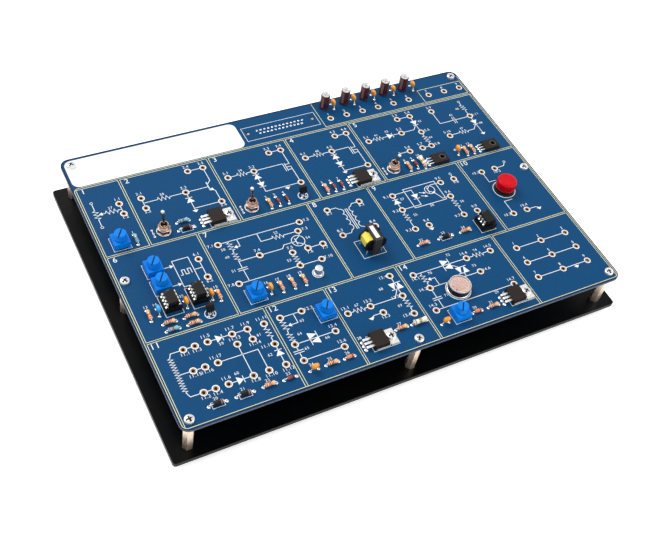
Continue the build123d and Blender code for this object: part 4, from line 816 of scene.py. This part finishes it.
upright(77.3, 38.6, 36.6, 26.4, 24, 22.6, 19.1)
plates_sign(77.3, 22.6)
along(28.4, 79.3, 100.7)
both_ways(89.2, 28.6)
along(17.1, 79.3, 100.7)
resistors(36.6, 117, 119, 126, 127.9)
line(131.9, 36.6, 146.6, 36.6, 150.4, 41.6)
both_ways(151.4, 44.4, standing=False, wide=2.3, tall=4)
upright(151.6, 50.3, 38.6)
resistors_up(151.6, 34.6, 34, 27.2, 24.9)
line(132.8, 30, 128.6, 30, 126.6, 29)
ground(126.4, 27.2)
along(47.7, 167.3, 201.6)
resistors(47.7, 205.6, 208.6, 215.8, 219.4)
both_ways(188.8, 47.7)
line(191.2, 46.4, 196, 42.6)
both_ways(196.2, 40.8, standing=False, wide=2.3, tall=3.8)
upright(196.2, 38.4, 35.7)
upright(170.3, 33.7, 28, 26.6, 20)
resistors_up(170.3, 47.7, 46.2, 39.6, 37.7)
arrow(172, 41.5, 180)
line(173.8, 41.5, 176.8, 41.5, 176.8, 35.7)
along(35.7, 172.1, 204.3)
plates_sign(170.3, 26.6)
along(20, 167.1, 219)
for x, y in CHANNEL:
    if x < 270:
        along(y, x + 2, x + 17.05)
upright(267.4, 19, 18)
ground(267.4, 16.2)

# Outlines under the parts
for spots, left, right, half in ((TRIMMERS, -5.3, 5.3, 5.3), (POWER, -0.8, 15.8, 5.4),
                                 (TIMERS, -5.2, 5.2, 7.6), ([ISOLATOR], -5.4, 5.4, 5.6),
                                 ([TRANSFORMER], -7.8, 7.6, 6.9)):
    for x, y in spots:
        rectangle(x + 145 + left, x + 145 + right, y + 102 - half, y + 102 + half)
for x, y in RECTIFIERS:
    rectangle(x - 3.5, x + 3.5, y - 1.9, y + 1.9)
PART_NUMBERS = [
    (22.5, 134.6), (108.3, 134.4), (114.1, 134.6), (120.1, 134.6), (147.4, 134), (152.9, 134), (158.5, 134),
    (208.6, 134), (214.1, 134.2), (219.6, 135.4), (253.3, 134), (258.8, 134), (10.2, 80.6), (15.6, 80.6),
    (51.9, 80.4), (80.2, 73), (87.3, 73), (94.7, 73), (102, 73), (23.3, 12.4), (38.9, 12.4), (53.4, 12.4),
    (65.5, 12.2), (79.9, 12.8), (91.1, 12.4), (102, 12.4), (139.4, 19), (113, 18.6), (207, 18), (187.9, 13),
    (199.4, 13), (184, 69.8), (200.2, 70.2), (215, 69.8), (31.6, 81), (46.6, 81), (16.7, 157), (49.3, 157.4),
    (102.4, 160.4), (157, 160.4), (202, 161.2), (210.6, 162.2), (238, 164), (237.2, 147.6), (262.7, 162.4),
    (270.6, 166.6), (262.9, 148.4), (279.4, 149), (66.9, 98), (66.9, 104.2), (66.4, 87.4), (101.7, 105.8),
    (100.2, 83.4), (118.6, 95.8), (191.4, 89.4), (226.6, 89.4), (190, 104), (205.8, 93), (39.8, 43.2),
    (39.8, 22.6), (61.4, 41.2), (61.6, 26.8), (88, 41.4), (82.8, 33.6), (82.4, 23.4), (96.4, 25.8),
    (122.5, 39.8), (141.6, 45), (146.4, 30.4), (175.8, 45.2), (176.6, 27.2), (193.8, 53.6), (205, 40.6),
    (212.2, 51), (193, 27),
]
for n, spot in enumerate(PART_NUMBERS, start=1):
    number(n, *spot, 2.6)
for x, y in TOGGLES:
    for rise in (-2.6, 0, 2.6):
        ring(x + 145 - 6.5, y + 102 + rise, 0.42, 0.5)
    line(x + 138.5, y + 99.4, x + 138.5, y + 104.6)
for (x, y), size in ((BUTTON, 7.45), (SENSOR, 7.7), (CAN, 3.3)) + tuple((spot, 3.1) for spot in SMALL):
    ring(x + 145, y + 102, size, 0.5)
make("board_print", prints, [PRINT, PRINT_WARM, PRINT_CREAM, MASK_DARK])

label = Shape()
outline = round_rect(2.0 - 145, 115.4 - 145, 179.4 - 102, 202.1 - 102, 4.5)
loft(label, at(0, 0), outline, 0.01, outline, 0.07)
make("blank_label", label, [PRINT])


# Screws


def pan_head(shape, where, radius=2.9, height=2.1, sides=48):
    """Domed head whose cross recess is painted in shade, from its rim to its centre."""
    points = [where @ polar(radius, 2 * pi * k / sides) for k in range(sides)]
    rings, sunk = [list(range(sides))], [0.0] * sides
    for share in (1.0, 0.98, 0.93, 0.84, 0.74, 0.64, 0.56, 0.48, 0.4, 0.32, 0.24, 0.16, 0.08, 0.0):
        rise = height * (1 - 0.32 * share ** 2 if share < 0.9 else 0.74 - 0.5 * ((share - 0.9) / 0.1) ** 2)
        number = sides if share else 1
        rings.append([len(points) + k % number for k in range(sides)])
        for k in range(number):
            spot = polar(share * radius, 2 * pi * k / sides)
            arms = [max(abs(a) / (0.58 * radius), abs(b) / (0.13 * radius + 0.05 * abs(a)))
                    for a, b in ((spot.x, spot.y), (spot.y, spot.x))]
            sunk.append(min(1.0, max(0.0, (1.25 - min(arms)) / 0.45)))
            spot.z = rise - sunk[-1] * height / 2
            points.append(where @ spot)
    skin(shape, points, rings, sides, lambda step, face: int(sum(sunk[c] for c in face) / len(face) > 0.55))


def thread(shape, where, low, high, radius=1.4, pitch=0.5):
    profile = [(0, low)]
    z = low
    while z < high - pitch / 2:
        profile += [(radius * 0.86, z), (radius, z + pitch / 2)]
        z += pitch
    lathe(shape, where, profile + [(radius * 0.86, high), (0, high)], 16)


def screws(node, frames, low, high=0):
    """Screws, each with the frame of its head and that of its thread."""
    shape = Shape()
    for head, shank in frames:
        pan_head(shape, head)
        thread(shape, shank, low, high)
    make(f"{node}_cross", shape, [CHROME, SHADE], node)


TAB_TOP = 1.3
screws("board_screws", [(at(x, y, heading=23 * n + 10), at(x, y)) for n, (x, y) in enumerate(PILLARS)], -7.4)
screws("base_screws", [(at(x, y, BASE_BOTTOM, 31 * n) @ Matrix.Rotation(pi, 4, "X"),) * 2
                       for n, (x, y) in enumerate(PILLARS)], -8.8)
screws("power_screws", [(at(x + POWER_HOLE, y, BOARD_TOP + TAB_TOP, 37 * n + 20), at(x + POWER_HOLE, y))
                        for n, (x, y) in enumerate(POWER)], -3.6, TAB_TOP)

# Plates, pillars and feet
keep("base_plate", BASE_GLOSS, 0.35)
keep("pillars", NICKEL, 0.3)
keep("rubber_feet", RUBBER, 0.4)
keep("power_nuts", CHROME, 0.25)

# Trimmers
bodies = Shape()
for x, y in TRIMMERS:
    here = at(x, y)
    box(bodies, here, (-4.8, 4.8), (-4.8, 4.8), (0.6, 4.75))
    for side in (-1, 1):
        box(bodies, here, sorted((side * 3.0, side * 4.8)), (-4.8, 4.8), (0, 0.62))
        box(bodies, here, sorted((side * 1.4, side * 2.6)), (-4.84, -4.6), (1.4, 4.2))
    lathe(bodies, here, [(4.25, 4.7), (4.25, 4.8), (4.05, 4.8), (4.05, 4.7)], 36)
make("trimmer_cases", bodies, [BLUE], "trimmer_bodies", edge=0.28)
legs = Shape()
for x, y in TRIMMERS:
    for dx, dy in ((-2.5, 2.5), (2.5, 2.5), (0, -2.5)):
        tube(legs, at(x, y), [(dx, dy, 0.8), (dx, dy, -3.0)], 0.3)
make("trimmer_legs", legs, [TIN])


def half_disc(radius, half_slot, side, steps=16):
    low = asin(half_slot / radius)
    turns = [low + (pi - 2 * low) * k / steps for k in range(steps + 1)]
    return [(radius * cos(t) * side, side * radius * sin(t)) for t in turns]


SLOT_HEADING = 55.0
for n, (x, y) in enumerate(TRIMMERS, start=1):
    tower = Shape()
    here = at(x, y)
    turned = here @ Matrix.Rotation(radians(SLOT_HEADING), 4, "Z")
    lathe(tower, here, [(0, 2.95), (1.5, 2.95), (1.5, 4.95), (3.75, 4.95), (3.75, 5.5), (3.66, 5.7),
                        (3.52, 8.2), (0, 8.2)], 40)
    for side in (-1, 1):
        loft(tower, turned, half_disc(3.52, 0.38, side), 8.2, half_disc(3.4, 0.38, side), 9.4)
    make(f"trimmer_tower_{n}", tower, [BLUE], f"trimmer_rotor_{n}",
         body=f"trimmer_{n}", edge=0.18)
    # A dark strip on the slot's floor is painted shade in the slot.
    slot_shade = Shape()
    box(slot_shade, turned, (-3.3, 3.3), (-0.36, 0.36), (8.2, 8.24))
    make(f"trimmer_slot_shade_{n}", slot_shade, [INDIGO], body=f"trimmer_{n}")

# Toggle switches
keep("toggle_bodies", BLACK, 0.3)
keep("toggle_terminals", TIN, 0.1)
nuts = Shape()
sleeves = Shape()
for x, y in TOGGLES:
    here = at(x, y)
    hexagon = circle(0, 0, 4.3, 6)
    loft(nuts, here, hexagon, 0.3, hexagon, 3.0)
    lathe(nuts, here, [(4.45, 0.01), (4.45, 0.3), (3.0, 0.3)], 36, mark=1)
    lathe(nuts, here, [(3.72, 2.95), (3.6, 3.2), (3.05, 3.3), (3.0, 1.5)], 36)
    box(sleeves, here, (-4, 4), (-6.5, 6.5), (-2.2, -1.6))
    profile = [(3.0, -1.6), (3.0, 2.4)]
    z = 2.4
    while z < 5.3:
        profile += [(2.78, z + 0.2), (2.98, z + 0.42)]
        z += 0.5
    profile += [(2.85, 6.0), (2.7, 6.2), (2.25, 6.2), (2.05, 6.0)]
    lathe(sleeves, here, profile, 32)
    # The bushing's bore is painted dark as shade.
    lathe(sleeves, here, [(2.05, 6.0), (1.95, 4.4), (1.75, 4.3)], 32, mark=1)
make("toggle_nuts_turned", nuts, [COPPERY, TIN], "toggle_nuts", edge=0.2)
make("toggle_sleeves", sleeves, [COPPERY, HOLE], "toggle_bushings")
LEVER = [(0, -3.2), (0.72, -3.1), (0.75, -1.7), (1.3, -1.2), (1.66, -0.5), (1.7, 0), (1.6, 0.6), (1.2, 1.2),
         (0.84, 1.6), (0.86, 3.0), (0.9, 6.0), (0.96, 9.0), (0.98, 10.0), (1.16, 10.6), (1.18, 11.1),
         (1.0, 11.6), (0.55, 11.92), (0, 12.0)]
for n, ((x, y), side) in enumerate(zip(TOGGLES, (1, 1, -1)), start=1):
    lever = Shape()
    tilt = at(x, y, BOARD_TOP + 3.6) @ Matrix.Rotation(radians(-12 * side), 4, "X")
    lathe(lever, tilt, LEVER, 28, marks=[0] * 12 + [1] * 5)
    make(f"toggle_bat_{n}", lever, [STEM, CHROME], f"toggle_lever_{n}", body=f"toggle_{n}")

# Push button
x, y = BUTTON
housing = Shape()
lathe(housing, at(x, y), [(0, 0), (6.6, 0), (6.6, 1.1), (6.25, 1.5), (4.9, 1.5), (4.9, 3.9), (4.8, 4.0),
                          (1.7, 4.0), (1.7, 0.3), (0, 0.3)], 48)
make("button_base", housing, [BLACK], "button_housing")
cap = Shape()
CAP = [(0, 1.6), (1.6, 1.6), (1.6, 6.3), (5.2, 6.3), (5.2, 2.8), (6.4, 2.8), (6.5, 2.95), (6.5, 7.4),
       (6.42, 8.0), (6.1, 8.6), (5.6, 8.95), (4.9, 9.1), (3.5, 9.0), (1.8, 8.92), (0, 8.9)]
lathe(cap, at(x, y), CAP, 56)
make("button_dome", cap, [RED], "button_cap", body="button")
keep("button_terminals", TIN, 0.08)

# Light sensor
x, y = SENSOR
case = Shape()
# The can's side wall is painted dark as shade; its flange and rims stay chrome.
lathe(case, at(x, y), [(0, 0), (7.1, 0), (7.1, 0.6), (6.85, 0.75), (6.8, 4.4), (6.9, 4.9), (6.75, 5.2),
                       (6.4, 5.2), (6.25, 5.0), (6.25, 0.6), (0, 0.6)], 56,
      marks=[1, 1, 1, 0, 1, 1, 1, 1, 1, 0, 0])
make("sensor_can", case, [SHADE, CHROME], "light_sensor_case")
cell = Shape()
# This plate's finish glows, painted light.
lathe(cell, at(x, y), [(0, 0.6), (5.3, 0.6), (6.1, 0.8), (6.1, 3.8), (5.95, 4.0), (0, 4.0)], 48)
path = []
for n in range(9):
    across = -3.6 + 0.9 * n
    reach = sqrt(4.6 ** 2 - across ** 2) * (1 if n % 2 else -1)
    path += [(x - reach, y + across), (x + reach, y + across)]
ribbon(cell, path, 0.26, BOARD_TOP + 4.03, mark=1)
for side in (-1, 1):
    lathe(cell, at(x + side * 3.9, y + 2.6 * side, BOARD_TOP + 3.9), [(0.5, 0.0), (0.42, 0.12), (0, 0.16)],
          16, mark=2)
make("sensor_plate", cell, [CELL, TRACK, SOLDER], "light_sensor_cell")
window = Shape()
lathe(window, at(x, y), [(0, 4.1), (6.2, 4.1), (6.24, 4.2), (6.24, 4.7), (6.1, 4.8), (0, 4.8)], 48)
make("sensor_glass", window, [GLASS], "light_sensor_window")

# Power and medium devices
keep("power_packages", EPOXY, 0.18)
keep("power_tabs", TIN, 0.12)
keep("medium_packages", EPOXY, 0.25)
dimples = Shape()
for x, y in MEDIUM:
    lathe(dimples, at(x + 7.05, y), [(2.3, 2.69), (2.25, 2.74), (1.62, 2.74), (1.55, 2.6), (1.55, 0.1)], 28)
make("mould_rings", dimples, [MARK])
leads = Shape()
pads = Shape()


def solder(x, y, radius=0.95, wire=0.32, height=0.42):
    lathe(pads, at(x, y), [(radius, 0.01), (radius, 0.05), (radius * 0.8, 0.1), (wire * 1.5, height * 0.6),
                           (wire, height), (0, height)], 18)


for x, y in POWER:
    for n in (-1, 0, 1):
        row = y + 2.54 * n
        strap(leads, at(x, row), [(0.1, 2.35), (-4.55, 2.35), (-4.55, 0.0)],
              lambda t: 1.4 if t < 0.5 else 0.9, 0.5)
        solder(x - 4.55, row, 1.15, 0.5)
make("power_straps", leads, [TIN], "power_leads", edge=0.06)
leads = Shape()
for x, y in MEDIUM:
    for n in (-1, 0, 1):
        row = y + 2.29 * n
        strap(leads, at(x, row), [(0.1, 1.25), (-3.5, 1.25), (-3.5, 0.0)], lambda t: 0.65, 0.5)
        solder(x - 3.5, row, 1.0, 0.4)
make("medium_straps", leads, [TIN], "medium_leads", edge=0.06)

# Small transistors
cases = Shape()
legs = Shape()
LEAN = radians(-22)
for x, y in SMALL:
    tilt = at(x, y, BOARD_TOP + 2.6) @ Matrix.Rotation(LEAN, 4, "X")
    flat = asin(1.3 / 2.4)
    outline = [tuple(polar(2.4, -flat + (pi + 2 * flat) * k / 26).xy) for k in range(27)]
    loft(cases, tilt, outline, 0, outline, 4.7)
    for n in (-1, 0, 1):
        foot = -abs(n) * 1.27
        tube(legs, at(x, y), [(n * 1.27, 0, 2.7), (n * 1.27, foot * 0.2, 2.0), (n * 1.27, foot, 0.6),
                              (n * 1.27, foot, 0)], 0.28)
        solder(x + n * 1.27, y + foot, 0.75)
make("small_cases", cases, [BLACK], "small_transistors", edge=0.3)
make("small_case_legs", legs, [TIN], "small_transistor_leads")

# Metal can transistor
x, y = CAN
can = Shape()
lathe(can, at(x, y), [(0, 0), (2.75, 0), (2.8, 0.15), (2.8, 0.5), (2.6, 0.68), (2.42, 0.75), (2.4, 4.4),
                      (2.3, 4.8), (2.0, 5.0), (0, 4.96)], 40)
box(can, at(x, y, heading=225), (2.4, 2.8), (-0.45, 0.45), (0.1, 0.6))
make("can_shell", can, [CHROME], "metal_can_transistor")

# Chips and their sockets
keep("chip_sockets", BLACK, 0.2)
keep("timer_chips", BLACK, 0.18)
keep("isolator_chip", BLACK, 0.18)
keep("chip_pins", TIN, 0.06)
contacts = Shape()
marks = Shape()
chip_top = 4.2 + 0.7 + 3.3
for (x, y), rows in ((TIMERS[0], 4), (TIMERS[1], 4), (ISOLATOR, 3)):
    for n in range(rows):
        row = y + (n - (rows - 1) / 2) * 2.54
        for side in (-1, 1):
            box(contacts, at(x + side * 3.81, row), (-0.75, 0.75), (-0.62, 0.62), (4.15, 4.26))
    here = at(x, y)
    lathe(marks, here @ Matrix.Translation((0, 4.55, 0)), [(0.85, chip_top), (0.8, chip_top + 0.03),
          (0, chip_top + 0.03)], 20, arc=(pi, pi))
    lathe(marks, here @ Matrix.Translation((-1.9, 3.5, 0)), [(0.42, chip_top), (0.38, chip_top + 0.03),
          (0, chip_top + 0.02)], 18)
make("socket_contacts", contacts, [TIN], edge=0.08)
make("chip_notches", marks, [MARK])

# Transformer
keep("transformer_core", FERRITE, 0.3)
keep("transformer_bobbin", BLACK, 0.2)
winding = keep("transformer_winding", TAPE, 0.5)
# The winding's right half, away from the key lamp, is painted black as shade.
winding.data.materials.append(BLACK)
for face in winding.data.polygons:
    face.material_index = 1 if face.center.x > TRANSFORMER[0] * MM else 0
keep("transformer_pins", TIN, 0.08)
x, y = TRANSFORMER
strip = Shape()
box(strip, at(x, y), (-1.3, 1.3), (-4.8, 4.8), (14.2, 14.28))
make("transformer_strip", strip, [PAPER])

# Electrolytic capacitors
cans = Shape()
for x, y in ELECTROLYTICS:
    lathe(cans, at(x, y), [(0, 0.1), (2.9, 0.1), (3.15, 0.35), (3.15, 1.1), (2.93, 1.45), (2.93, 1.6),
                           (3.15, 1.95), (3.15, 11.0), (3.03, 11.35), (2.75, 11.45), (2.65, 11.4),
                           (2.5, 11.28), (0, 11.28)], 36, marks=[0, 0, 0, 0, 0, 0, 0, 0, 0, 0, 1, 1])
    lathe(cans, at(x, y), [(3.165, 2.1), (3.165, 10.9)], 8, mark=2, arc=(radians(200), radians(30)))
    # The dark cross on each can top is painted shade standing for the vent grooves.
    for heading in (45, 135):
        box(cans, at(x, y, heading=heading), (-1.9, 1.9), (-0.1, 0.1), (11.26, 11.31), mark=3)
    for side in (-1, 1):
        solder(x + side * 1.0, y, 0.7)
make("electrolytic_sleeves", cans, [SLEEVE, CAN_TOP, STRIPE, MARK], "electrolytic_cans")

# Ceramic capacitors
drops = Shape()
blue_drop = Shape()
legs = Shape()
for n, (x, y, heading) in enumerate(CERAMICS):
    here = at(x, y, heading=heading)
    target = blue_drop if n == BLUE_CERAMIC else drops
    pillow(target, here @ Matrix.Translation((0, 0, 4.0)), (4.6, 2.4, 4.0), 2.6)
    for side in (-1, 1):
        tube(legs, here, [(side * 1.35, 0, 2.9), (side * 1.45, 0, 1.9), (side * 2.54, 0, 0.7),
                          (side * 2.54, 0, 0)], 0.28, 0.6)
        spot = here @ Vector((side * 2.54, 0, 0))
        solder(spot.x, spot.y, 0.85)
make("ceramic_drops", drops, [AMBER], "ceramic_capacitors")
make("ceramic_drop_blue", blue_drop, [SKY])
make("ceramic_legs", legs, [TIN], "ceramic_leads")

# Lying resistors and diodes
wires = Shape()


def lead_pair(x, y, heading, rise, length, pitch, wire=0.3):
    here = at(x, y, heading=heading)
    for side in (-1, 1):
        tube(wires, here, [(side * (length / 2 - 0.2), 0, rise), (side * pitch / 2, 0, rise),
                           (side * pitch / 2, 0, 0)], wire, 0.9)
        spot = here @ Vector((side * pitch / 2, 0, 0))
        solder(spot.x, spot.y, 0.95)


def resistor(shape, x, y, heading, bands, length=6.0, radius=1.25, pitch=7.62):
    rise, half, waist = radius + 0.2, length / 2, radius * 0.84
    edges = [(-half, 0.3), (-half + 0.15, radius * 0.8), (-half + 0.5, radius), (-half + 1.2, radius),
             (-half + 1.6, waist)]
    cuts = [(-half + 0.55, radius), (-half + 1.1, radius)]
    cuts += [(z, waist) for z in (-1.05, -0.55, -0.25, 0.25, 0.6, 1.1)]
    profile = sorted(set(edges + [(-z, r) for z, r in edges] + cuts))
    spans = ((-half + 0.54, -half + 1.11), (-1.06, -0.54), (-0.26, 0.26), (0.59, 1.11))
    marks = [sum(band for (low, high), band in zip(spans, bands) if low < (a[0] + b[0]) / 2 < high)
             for a, b in zip(profile, profile[1:])]
    lathe(shape, lying(x, y, BOARD_TOP + rise, heading), [(r, z) for z, r in profile], 22, marks=marks)
    lead_pair(x, y, heading, rise, length, pitch)


tans = Shape()
blues = Shape()
ALONG_Y = [(22.5, 129), (108.3, 128.8), (147.4, 128.4), (208.6, 128.4), (253.3, 128.5), (258.8, 128.5),
           (10.2, 74.8), (51.5, 74.5), (87.3, 67.5), (94.7, 67.5), (102, 67.5)]
ALONG_X = [(53.2, 132.9), (19, 66.5), (31.5, 66.5), (19, 61.4), (31.5, 61.4), (184, 66.9), (215, 66.9),
           (53.4, 9.6), (91.1, 9.5), (139.4, 16.2), (199.4, 10.2)]
for n, (spot, heading) in enumerate([(p, 90) for p in ALONG_Y] + [(p, 0) for p in ALONG_X]):
    choice = [(1, 3, 4, 2), (1, 3, 1, 2), (4, 4, 3, 2), (1, 4, 3, 2)][n % 4]
    target = blues if spot in ((22.5, 129), (53.2, 132.9), (19, 61.4)) else tans
    resistor(target, *place(*spot), heading, choice)
make("resistors_tan", tans, [TAN, BROWN, GOLD, INDIGO, RUST], "resistor_bodies")
make("resistors_blue", blues, [PALE_BLUE, BROWN, GOLD, INDIGO, RUST])
larges = Shape()
resistor(larges, *place(219.2, 128.7), 90, (1, 3, 3, 2), 8.4, 1.7, 10.16)
resistor(larges, *place(151.2, 16), 0, (1, 3, 3, 2), 8.4, 1.7, 10.16)
make("resistors_cream", larges, [CREAM, BROWN, GOLD, INDIGO, RUST],
     "large_resistor_bodies")


def diode(shape, x, y, heading, length, radius, pitch):
    rise, half = radius + 0.2, length / 2
    profile = [(0.3, -half), (radius * 0.9, -half + 0.05), (radius, -half + 0.25), (radius, half - 1.35),
               (radius + 0.01, half - 1.3), (radius + 0.01, half - 0.6), (radius, half - 0.55),
               (radius, half - 0.25), (radius * 0.9, half - 0.05), (0.3, half)]
    lathe(shape, lying(x, y, BOARD_TOP + rise, heading), profile, 22, marks=[0, 0, 0, 1, 1, 1, 0, 0, 0])
    lead_pair(x, y, heading, rise, length, pitch)


rectifiers = Shape()
for spot in RECTIFIERS:
    diode(rectifiers, *place(*spot), 0, 5.2, 1.4, 10.16)
make("rectifiers", rectifiers, [BLACK, STRIPE], "rectifier_diodes")
zeners = Shape()
for spot in ((114.1, 129), (120.1, 129), (152.9, 128.4), (158.5, 128.4), (214.1, 128.8)):
    diode(zeners, *place(*spot), 90, 4.0, 1.0, 7.62)
diode(zeners, *place(65.5, 9.4), 0, 4.0, 1.0, 7.62)
make("zeners", zeners, [AMBER_GLASS, INDIGO], "zener_diodes")
triggers = Shape()
for spot in ((102, 9.5), (187.9, 10.2)):
    diode(triggers, *place(*spot), 0, 4.0, 1.1, 6.4)
make("triggers", triggers, [PEACH_GLASS, BROWN], "trigger_diodes")
make("lying_wires", wires, [TIN], "axial_leads")

# Port under the rear edge, with its solder points on the board
keep("port_shell", TIN, 0.2)
keep("port_insulator", BLACK, 0.15)
keep("port_pins", TIN, 0.05)
keep("port_brackets", TIN, 0.15)
keep("port_jack_nuts", CHROME, 0.3)
sleeves = Shape()
for count, level in ((13, 1), (12, -1)):
    for n in range(count):
        spot = lying(PORT_X + (n - (count - 1) / 2) * PORT_PITCH, 102.2, PORT_Z + level * 1.42, 90)
        # Each contact's hole is painted dark as shade.
        lathe(sleeves, spot, [(0.95, -0.3), (0.95, 0.05), (0.62, 0.05), (0.55, -0.4), (0, -0.4)], 16,
              marks=[0, 0, 1, 1])
make("port_contacts", sleeves, [PIN_GOLD, HOLE])
for count, row in ((13, 88.9), (12, 86.1)):
    for n in range(count):
        solder(PORT_X + (n - (count - 1) / 2) * PORT_PITCH, row, 0.72, 0.3, 0.4)
make("solder_points", pads, [SOLDER])

# Floor, light and camera
mesh = bpy.data.meshes.new("studio_floor")
mesh.from_pydata([(-4, -4, 0), (4, -4, 0), (4, 4, 0), (-4, 4, 0)], [], [[0, 1, 2, 3]])
mesh.materials.append(FLOOR)
link("studio_floor", mesh)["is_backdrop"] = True

world = bpy.data.worlds.new("studio")
world.use_nodes = True
world.node_tree.nodes["Background"].inputs["Color"].default_value = (1, 1, 1, 1)
world.node_tree.nodes["Background"].inputs["Strength"].default_value = 0.85
bpy.context.scene.world = world


def lamp(name, spot, target, size, power):
    light = bpy.data.lights.new(name, "AREA")
    light.shape = "DISK"
    light.size = size
    light.energy = power
    holder = link(name, light)
    holder.location = spot
    holder.rotation_euler = (Vector(target) - Vector(spot)).to_track_quat("-Z", "Y").to_euler()


lamp("key", (-0.5, 0.9, 1.3), (0, 0, 0.03), 0.8, 14)
lamp("fill", (0.9, -0.9, 1.1), (0, 0, 0.03), 1.0, 7)

CAMERA_AT = Vector((-0.25115, -0.33301, 0.48264))
CAMERA_AIM = Vector((-0.02313, -0.03306, 0.0346))
CAMERA_ROLL = 13.11
FOCAL_PIXELS = 992.1
IMAGE_WIDTH = 666
lens = bpy.data.cameras.new("camera")
lens.sensor_width = 36
lens.lens = FOCAL_PIXELS / IMAGE_WIDTH * lens.sensor_width
camera = link("camera", lens)
aim = (CAMERA_AIM - CAMERA_AT).to_track_quat("-Z", "Y").to_matrix().to_4x4()
camera.matrix_world = Matrix.Translation(CAMERA_AT) @ aim @ Matrix.Rotation(radians(CAMERA_ROLL), 4, "Z")
bpy.context.scene.camera = camera
bpy.context.scene.view_settings.view_transform = "Standard"

low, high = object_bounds()
